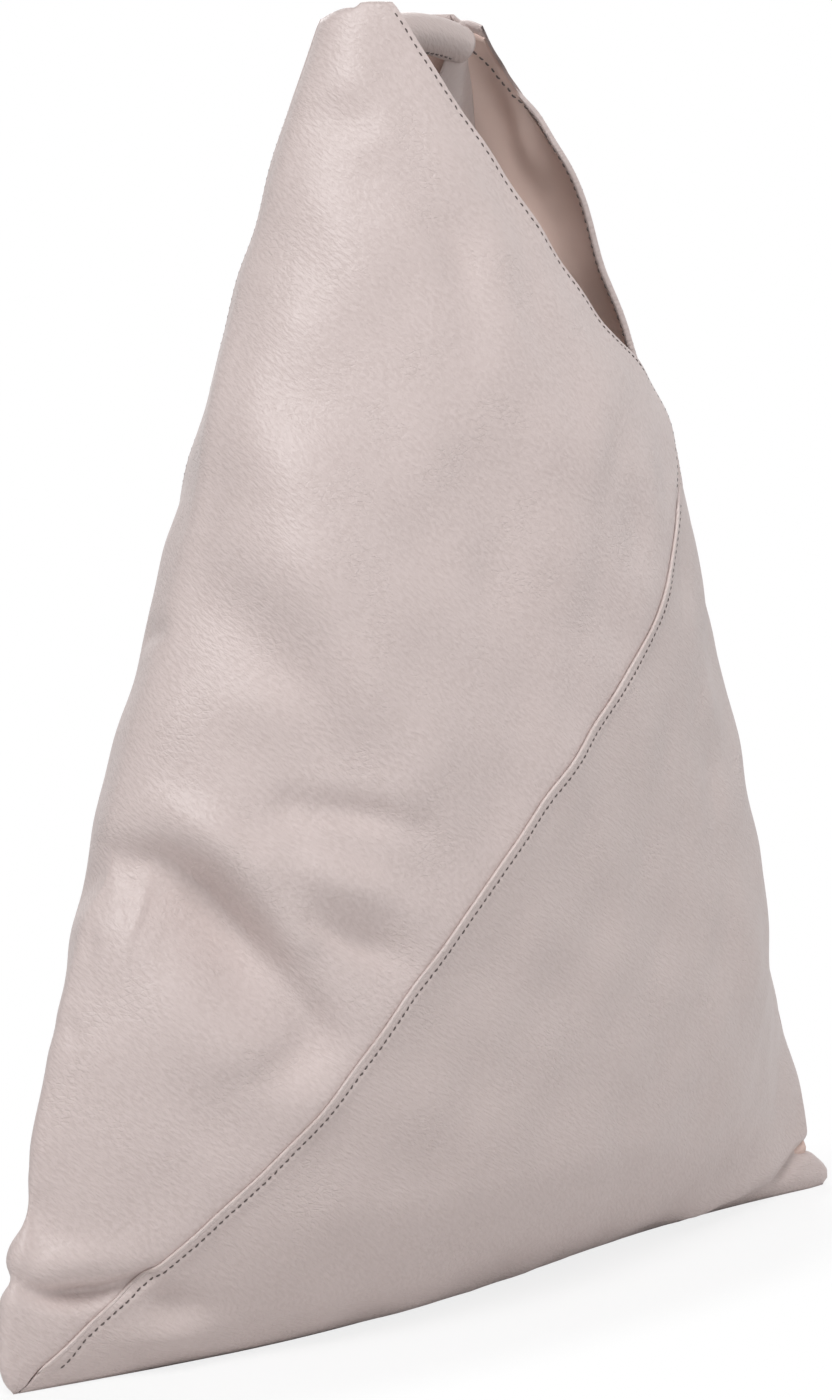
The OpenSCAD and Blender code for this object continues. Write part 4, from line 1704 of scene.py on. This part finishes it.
    def tab(self, name: str, side: float) -> bpy.types.Object:
        """Builds the tab that holds one end of the handle and fans out below it.

        Args:
            name: the piece's name.
            side: 1 for the right tab, -1 for the left one.

        Returns:
            The new object.
        """
        centre, right, up = self.arch()
        back = np.cross(up, right)
        rows, cols = self.tab_grid
        knots = np.arange(len(TAB), dtype=float)
        at = np.linspace(0, len(TAB) - 1, rows)
        height, near, far, behind = (
            follow(list(zip(knots, [row[k] * MM for row in TAB])), at)[:, None] for k in range(4)
        )
        share = np.linspace(0, 1, cols)[None, :]
        reach = near + (far - near) * share
        belly = self.belly * np.sin(math.pi * share) * smooth_step(height, *self.belly_fade)
        turns, start = self.ripple_turns
        top, grow = self.ripple_fade
        ripple = self.ripple * np.sin(turns * share + start) * smooth_step(top - height, 0.0, grow)
        depth = behind - belly + ripple
        middle = (
            centre * np.array([1.0, 1.0, 0.0])
            + side * reach[..., None] * right
            + side * depth[..., None] * back
            + height[..., None] * up
        )
        edge = np.clip(1 - np.abs(2 * share - 1) ** 8, 0.3, 1.0)
        half = (self.tab_thick / 2 * edge)[..., None] * side * back
        outside, inside = middle - half, middle + half
        uvs = np.stack(np.broadcast_arrays(reach, height), -1)
        faces = shell_faces(rows, cols)
        return make_object(name, np.stack([outside, inside]), faces, np.stack([uvs, uvs]))


@dataclass
class Pocket:
    """The cloth pouch of the zip pocket, which hangs on the back wall.

    Attributes:
        length: its width along the zip.
        above: how far it reaches above the zip's middle.
        below: how far it hangs below it.
        depth: its depth from the wall to the zip.
        cloth: thickness of its cloth.
        slot_length: length of the slot behind the zip.
        slot_height: height of that slot.
        zip_turn: angle of the zip to the X axis, in degrees.
        zip_tilt: how far the back wall leans there, in degrees.
        hang_point: the middle of the zip on the wall.
        edge_soft: width over which the two walls of cloth draw together.
        edge_gap: share of the depth that is left at the edges.
        fold_depth: how deep the hanging folds are.
        fold_width: how wide they are, over a turn.
        fold_bend: how far they bend sideways, and over what height.
        cells: cells of the cloth across and down.
        start_gap: gap of the two walls before they are shaped.
        sharp: angle over which an edge is shown sharp, in degrees.
    """

    length: float = 106 * MM
    above: float = 12 * MM
    below: float = 108 * MM
    depth: float = 4.5 * MM
    cloth: float = 0.6 * MM
    slot_length: float = 96 * MM
    slot_height: float = 11.4 * MM
    zip_turn: float = -3.47
    zip_tilt: float = 0.354
    hang_point: Triple = (6.821 * MM, 58.547 * MM, 286 * MM)
    edge_soft: float = 7 * MM
    edge_gap: float = 0.12
    fold_depth: float = 0.9 * MM
    fold_width: float = 8 * MM
    fold_bend: tuple[float, float] = (1.2, 30 * MM)
    cells: tuple[int, int] = (106, 120)
    start_gap: float = 1.0 * MM
    sharp: float = 50

    def hung(self, points: np.ndarray) -> np.ndarray:
        """Turns points from the pocket's own axes to their place on the back wall.

        Args:
            points: points with X along the zip, Y at the wall and Z up.

        Returns:
            The points in the frame's axes.
        """
        tilt, turn = math.radians(-self.zip_tilt), math.radians(self.zip_turn)
        x = points[:, 0]
        y = points[:, 1] * math.cos(tilt) - points[:, 2] * math.sin(tilt)
        z = points[:, 1] * math.sin(tilt) + points[:, 2] * math.cos(tilt)
        across = x * math.cos(turn) - y * math.sin(turn)
        behind = x * math.sin(turn) + y * math.cos(turn)
        return np.stack([across, behind, z], -1) + np.array(self.hang_point)

    def walls(self, flat: np.ndarray) -> np.ndarray:
        """Shapes the flat cloth: two walls that meet in soft edges and hang in shallow folds.

        Args:
            flat: points of both walls, with their side in Y.

        Returns:
            The shaped points.
        """
        x, side, z = flat.T
        gap = np.minimum(self.length / 2 - np.abs(x), np.minimum(self.above - z, z + self.below))
        full = np.sqrt(1 - (1 - np.clip(gap / self.edge_soft, 0, 1)) ** 2)
        free = smooth_step(-z, self.above + 3 * MM, self.below * 0.6)
        bend, rise = self.fold_bend
        fold = self.fold_depth * (np.sin(x / self.fold_width + bend * np.sin(z / rise)) + 1) * free * full
        spread = (self.depth - self.cloth) / 2
        middle = -self.depth / 2
        y = middle + spread * np.sign(side) * (full + (1 - full) * self.edge_gap) - fold * (side < 0)
        stay = (side < 0) & (np.abs(z) < self.above + 1 * MM)
        y = np.where(stay, -self.depth + self.cloth / 2, y)
        return np.stack([x, y, z], -1)

    def thicken(self, thing: bpy.types.Object, name: str, thickness: float) -> None:
        """Gives a sheet a thickness to both of its sides.

        Args:
            thing: the sheet.
            name: name of the modifier, which is applied.
            thickness: the thickness.
        """
        modifier = thing.modifiers.new(name, "SOLIDIFY")
        modifier.thickness = thickness
        modifier.offset = 0.0
        bpy.ops.object.modifier_apply(modifier=name)

    def cut_slot(self, mesh: bpy.types.Mesh) -> None:
        """Takes the slot behind the zip out of the wall that faces it."""
        bpy.ops.object.mode_set(mode="EDIT")
        bpy.ops.mesh.select_all(action="DESELECT")
        bpy.ops.object.mode_set(mode="OBJECT")
        for face in mesh.polygons:
            x, y, z = face.center
            inside = abs(x) < self.slot_length / 2 and abs(z) < self.slot_height / 2
            face.select = y < -0.2 * self.start_gap and inside
        bpy.ops.object.mode_set(mode="EDIT")
        bpy.ops.mesh.delete(type="FACE")
        bpy.ops.object.mode_set(mode="OBJECT")

    def pouch(self, name: str) -> bpy.types.Object:
        """Builds the pouch from a grid of cloth with the zip's slot cut out.

        Args:
            name: the piece's name.

        Returns:
            The new object.
        """
        bpy.ops.object.select_all(action="DESELECT")
        across, down = self.cells
        bpy.ops.mesh.primitive_grid_add(x_subdivisions=across, y_subdivisions=down, size=1.0)
        thing = bpy.context.object
        thing.name = name
        mesh = thing.data
        height = self.above + self.below
        for point in mesh.vertices:
            u, v = point.co.x, point.co.y
            point.co = (u * self.length, 0.0, v * height + (self.above - self.below) / 2)
        self.thicken(thing, "walls", self.start_gap)
        self.cut_slot(mesh)
        flat = np.array([point.co[:] for point in mesh.vertices])
        mesh.vertices.foreach_set("co", self.hung(self.walls(flat)).ravel())
        bpy.ops.object.mode_set(mode="EDIT")
        bpy.ops.mesh.select_all(action="SELECT")
        bpy.ops.mesh.normals_make_consistent(inside=False)
        bpy.ops.object.mode_set(mode="OBJECT")
        self.thicken(thing, "cloth", self.cloth)
        bpy.ops.object.shade_smooth_by_angle(angle=math.radians(self.sharp))
        return thing


@dataclass
class Studio:
    """Floor, lights and camera.

    Attributes:
        camera_place: where the camera stands.
        camera_aim: the point in the middle of its picture.
        focal_pixels: its focal length, in pixels of the full picture.
        frame_height: height of the full picture, in pixels.
        sensor: height of its sensor, in millimetres.
        rest_width: half the width of the bag's footprint.
        rest_depth: half its depth.
        shadow_reach: how far out the shadow shows, against the footprint.
        near_white: how white the floor is shown at the bag.
        floor_size: side of the floor.
        paper: how light the floor is for the light that it throws back.
        room_color: colour of the room's even light.
        room_light: its strength.
        lamp_aim: the point that the lamps shine at.
    """

    camera_place: Triple = (-0.9725, -1.0071, 0.388)
    camera_aim: Triple = (-0.0088, 0.0085, 0.2322)
    focal_pixels: float = 3614.0
    frame_height: float = 1400.0
    sensor: float = 36.0
    rest_width: float = 0.235
    rest_depth: float = 0.075
    shadow_reach: float = 1.5
    near_white: float = 0.82
    floor_size: float = 12.0
    paper: Color = (0.86, 0.86, 0.86)
    room_color: Color = (0.98, 0.99, 1.0)
    room_light: float = 0.29
    lamp_aim: Triple = (0.0, 0.0, 0.25)

    WHITE = (1.0, 1.0, 1.0)

    # Each lamp's name, place, side and power in watts
    LAMPS = (
        ("key_lamp", (-1.70, -1.43, 3.45), 1.7, 94.0),
        ("front_lamp", (-0.4, -2.7, 0.7), 1.6, 6.0),
        ("right_lamp", (2.4, -1.0, 1.0), 1.6, 6.0),
        ("back_lamp", (1.5, 2.4, 2.6), 1.6, 55.0),
    )

    def look(self, thing: bpy.types.Object, place: Triple, aim: Triple) -> None:
        """Puts a camera or lamp at a place, turned to look at a point."""
        thing.location = place
        thing.rotation_euler = (Vector(aim) - Vector(place)).to_track_quat("-Z", "Y").to_euler()
        bpy.context.scene.collection.objects.link(thing)

    def camera(self) -> None:
        """Makes the camera at the photograph's viewing angle."""
        data = bpy.data.cameras.new("camera")
        data.sensor_fit = "VERTICAL"
        data.sensor_height = self.sensor
        data.lens = self.sensor * self.focal_pixels / self.frame_height
        thing = bpy.data.objects.new("camera", data)
        self.look(thing, self.camera_place, self.camera_aim)
        bpy.context.scene.camera = thing

    def floor(self) -> None:
        """Makes the white floor, which keeps the object's shadow."""
        bpy.ops.object.select_all(action="DESELECT")
        bpy.ops.mesh.primitive_plane_add(size=self.floor_size, location=(0.0, 0.0, 0.0))
        floor = bpy.context.object
        floor.name = "floor"
        tree = Tree.of("white_floor")
        paper = tree.add("ShaderNodeBsdfDiffuse", None, {"Color": self.paper})
        white = tree.add("ShaderNodeEmission", None, {"Color": self.WHITE, "Strength": 1.0})
        place = tree.place(stretch=(1 / self.rest_width, 1 / self.rest_depth, 1.0))
        away = tree.add("ShaderNodeVectorMath", {"operation": "LENGTH"}, {0: place})
        far = Signal(tree, away.outputs["Value"]).rise(1.0, self.shadow_reach)
        rays = tree.add("ShaderNodeLightPath")
        shine = self.near_white + (1 - self.near_white) * far
        seen = Signal(tree, rays.outputs["Is Camera Ray"]) * shine
        inputs = {0: seen, 1: paper.outputs[0], 2: white.outputs[0]}
        shown = tree.add("ShaderNodeMixShader", None, inputs)
        tree.add("ShaderNodeOutputMaterial", None, {"Surface": shown.outputs[0]})
        floor.data.materials.append(tree.owner)

    def world(self) -> None:
        """Makes the even light of the room and the white background."""
        tree = Tree(bpy.data.worlds.new("studio"))
        inputs = {"Color": self.room_color, "Strength": self.room_light}
        soft = tree.add("ShaderNodeBackground", None, inputs)
        white = tree.add("ShaderNodeBackground", None, {"Color": self.WHITE, "Strength": 1.0})
        rays = tree.add("ShaderNodeLightPath")
        camera, mirrored, through = (
            Signal(tree, rays.outputs[f"Is {kind} Ray"]) for kind in ("Camera", "Glossy", "Transmission")
        )
        seen = tree.math("MAXIMUM", camera, tree.math("MAXIMUM", mirrored, through))
        inputs = {0: seen, 1: soft.outputs[0], 2: white.outputs[0]}
        mix = tree.add("ShaderNodeMixShader", None, inputs)
        tree.add("ShaderNodeOutputWorld", None, {"Surface": mix.outputs[0]})
        bpy.context.scene.world = tree.owner

    def lamp(self, name: str, place: Triple, size: float, power: float) -> None:
        """Makes a soft square lamp that shines at the middle of the bag.

        Args:
            name: its name.
            place: where it stands.
            size: length of its side.
            power: its power in watts.
        """
        data = bpy.data.lights.new(name, "AREA")
        data.shape = "SQUARE"
        data.size = size
        data.energy = power
        self.look(bpy.data.objects.new(name, data), place, self.lamp_aim)

    def build(self) -> None:
        """Sets up the whole studio."""
        bpy.context.scene.view_settings.view_transform = "Standard"
        self.camera()
        self.floor()
        self.world()
        for lamp in self.LAMPS:
            self.lamp(*lamp)


class Slot(Enum):
    """Material slots of the record."""

    LEATHER = "leather"
    EDGE = "edge_leather"
    HANDLE = "handle_leather"
    LINING = "lining"
    THREAD = "thread"
    CORD = "handle_cord"
    TAPE = "zip_tape"
    METAL = "zip_metal"


# The colours of the leather, of the front and of the back, with their darker patches. Both panels are cut
# from one leather: the back's darker colour is painted shade, for the lower front triangle that turns
# away from the light
FRONT_HIDE = ((0.672, 0.570, 0.549), (0.645, 0.544, 0.522))
BACK_HIDE_PAINTED_SHADE = ((0.632, 0.535, 0.513), (0.607, 0.512, 0.49))
PIPING_HIDE = ((0.72, 0.63, 0.605), (0.66, 0.56, 0.53))
HANDLE_HIDE = ((0.56, 0.468, 0.445), (0.53, 0.44, 0.418))

# The colours of the cloths, with those between their threads. The lining's colour is lighter than the
# cloth's own, as painted light that makes up for the dim light inside the bag
LINING_CLOTH_PAINTED_LIGHT = ((0.76, 0.585, 0.52), (0.68, 0.51, 0.45))
POCKET_CLOTH = ((0.70, 0.56, 0.50), (0.60, 0.47, 0.42))
CORD_CLOTH = ((0.80, 0.76, 0.70), (0.6, 0.56, 0.5))
TAPE_CLOTH = ((0.36, 0.29, 0.26), (0.24, 0.18, 0.16))

# The nodes of the frame that stay as they are, and only get a finish
PAINTED = {
    "handle_core": Slot.CORD,
    "zip_tape_upper": Slot.TAPE,
    "zip_tape_lower": Slot.TAPE,
    "zip_teeth_upper": Slot.METAL,
    "zip_teeth_lower": Slot.METAL,
    "zip_end_stops": Slot.METAL,
    "zip_slider": Slot.METAL,
    "zip_puller": Slot.METAL,
}


@dataclass
class Tote:
    """The whole bag, which dresses the frame's nodes.

    Attributes:
        surface: the folded surface that its wall follows.
        materials: the finish of each slot.
    """

    surface: Surface = field(default_factory=lambda: Surface(Form(), FOLDS))
    materials: dict[Slot, bpy.types.Material] = field(default_factory=dict, init=False)

    OTHER = {"front": "back", "back": "front"}

    def finishes(self) -> dict[Slot, bpy.types.Material]:
        """Builds one material for each slot."""
        return {
            Slot.LEATHER: Leather("panel_leather", *FRONT_HIDE).material(),
            Slot.EDGE: Leather("piping_leather", *PIPING_HIDE).material(),
            Slot.HANDLE: Leather("handle_leather", *HANDLE_HIDE).material(),
            # The lining's cloth is lighter than its own colour, as painted light
            Slot.LINING: Cloth("lining_cloth", *LINING_CLOTH_PAINTED_LIGHT).material(),
            Slot.THREAD: SewingThread().material(),
            Slot.CORD: Cloth("cotton_cord", *CORD_CLOTH, 0.9 * MM, 0.85, False).material(),
            Slot.TAPE: Cloth("zip_tape", *TAPE_CLOTH, 0.6 * MM, 0.8, False).material(),
            Slot.METAL: Brass().material(),
        }

    def panel(self, side: str) -> Panel:
        """The front or the back panel."""
        if side == "front":
            return Panel(self.surface)
        return Panel(self.surface, HALF_TURN, BACK_MOUTH, BACK_SIDE)

    def dress(
        self, piece: bpy.types.Object, node: str, slot: Slot, finish: bpy.types.Material | None = None
    ) -> None:
        """Gives a new piece its finish, and lets it stand for a node of the frame.

        Args:
            piece: the new piece.
            node: the node that it stands for.
            slot: its material slot.
            finish: a finish of its own, where it isn't the slot's.
        """
        piece.data.materials.append(finish or self.materials[slot])
        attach(piece, "bag")
        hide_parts(node)
        log.info("%s stands for %s with %d faces", piece.name, node, len(piece.data.polygons))

    def paint(self, node: str, finish: bpy.types.Material) -> None:
        """Gives a node of the frame a finish."""
        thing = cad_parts[node]
        thing.data.materials.clear()
        thing.data.materials.append(finish)

    def build_side(self, side: str, hide: bpy.types.Material) -> None:
        """Builds one panel with its lining, its piping, its seam and its two hems.

        Args:
            side: the front or the back.
            hide: the panel's leather.
        """
        seams = Seams(self.surface)
        panel = self.panel(side)
        self.dress(panel.leather(f"{side}_leather"), f"{side}_panel", Slot.LEATHER, hide)
        self.dress(panel.lining(f"{side}_lining_cloth"), f"{side}_lining", Slot.LINING)
        self.dress(seams.piping(f"{side}_piping", panel), f"{side}_seam_piping", Slot.EDGE)
        row = seams.seam_stitches(f"{side}_seam_thread", self.panel(self.OTHER[side]))
        self.dress(row, f"{side}_seam_stitches", Slot.THREAD)
        for first, where in ((True, side), (False, self.OTHER[side])):
            hem = f"{side}_panel_{where}_hem"
            row = seams.hem_stitches(f"{hem}_thread", panel, first)
            self.dress(row, f"{hem}_stitches", Slot.THREAD)

    def build_pocket(self) -> None:
        """Builds the pouch of the zip pocket, and gives its facing the handle's leather."""
        cloth = Cloth("pocket_cloth", *POCKET_CLOTH, 0.5 * MM, 0.8, False).material()
        self.dress(Pocket().pouch("pocket_pouch"), "pocket_bag", Slot.LINING, cloth)
        self.paint("pocket_facing", Leather("facing_leather", *HANDLE_HIDE, mapped=False).material())

    def build_handle(self) -> None:
        """Builds the handle's sleeve with its seam, and both tabs."""
        handle = Handle(self.surface)
        self.dress(handle.sleeve("handle_roll"), "handle_sleeve", Slot.HANDLE)
        self.dress(handle.stitches("handle_thread"), "handle_stitches", Slot.THREAD)
        for side, way in (("left", -1.0), ("right", 1.0)):
            self.dress(handle.tab(f"{side}_tab", way), f"{side}_handle_tab", Slot.HANDLE)

    def build(self) -> None:
        """Builds every piece."""
        self.materials = self.finishes()
        self.build_side("front", self.materials[Slot.LEATHER])
        # The back panel gets a darker copy of the front's leather, as painted shade
        self.build_side("back", Leather("back_leather", *BACK_HIDE_PAINTED_SHADE).material())
        self.build_pocket()
        self.build_handle()
        for node, slot in PAINTED.items():
            self.paint(node, self.materials[slot])


def main() -> None:
    """Builds the studio and the bag."""
    logging.basicConfig(level=logging.INFO, format="%(message)s")
    Studio().build()
    Tote().build()


if __name__ == "__main__":
    main()
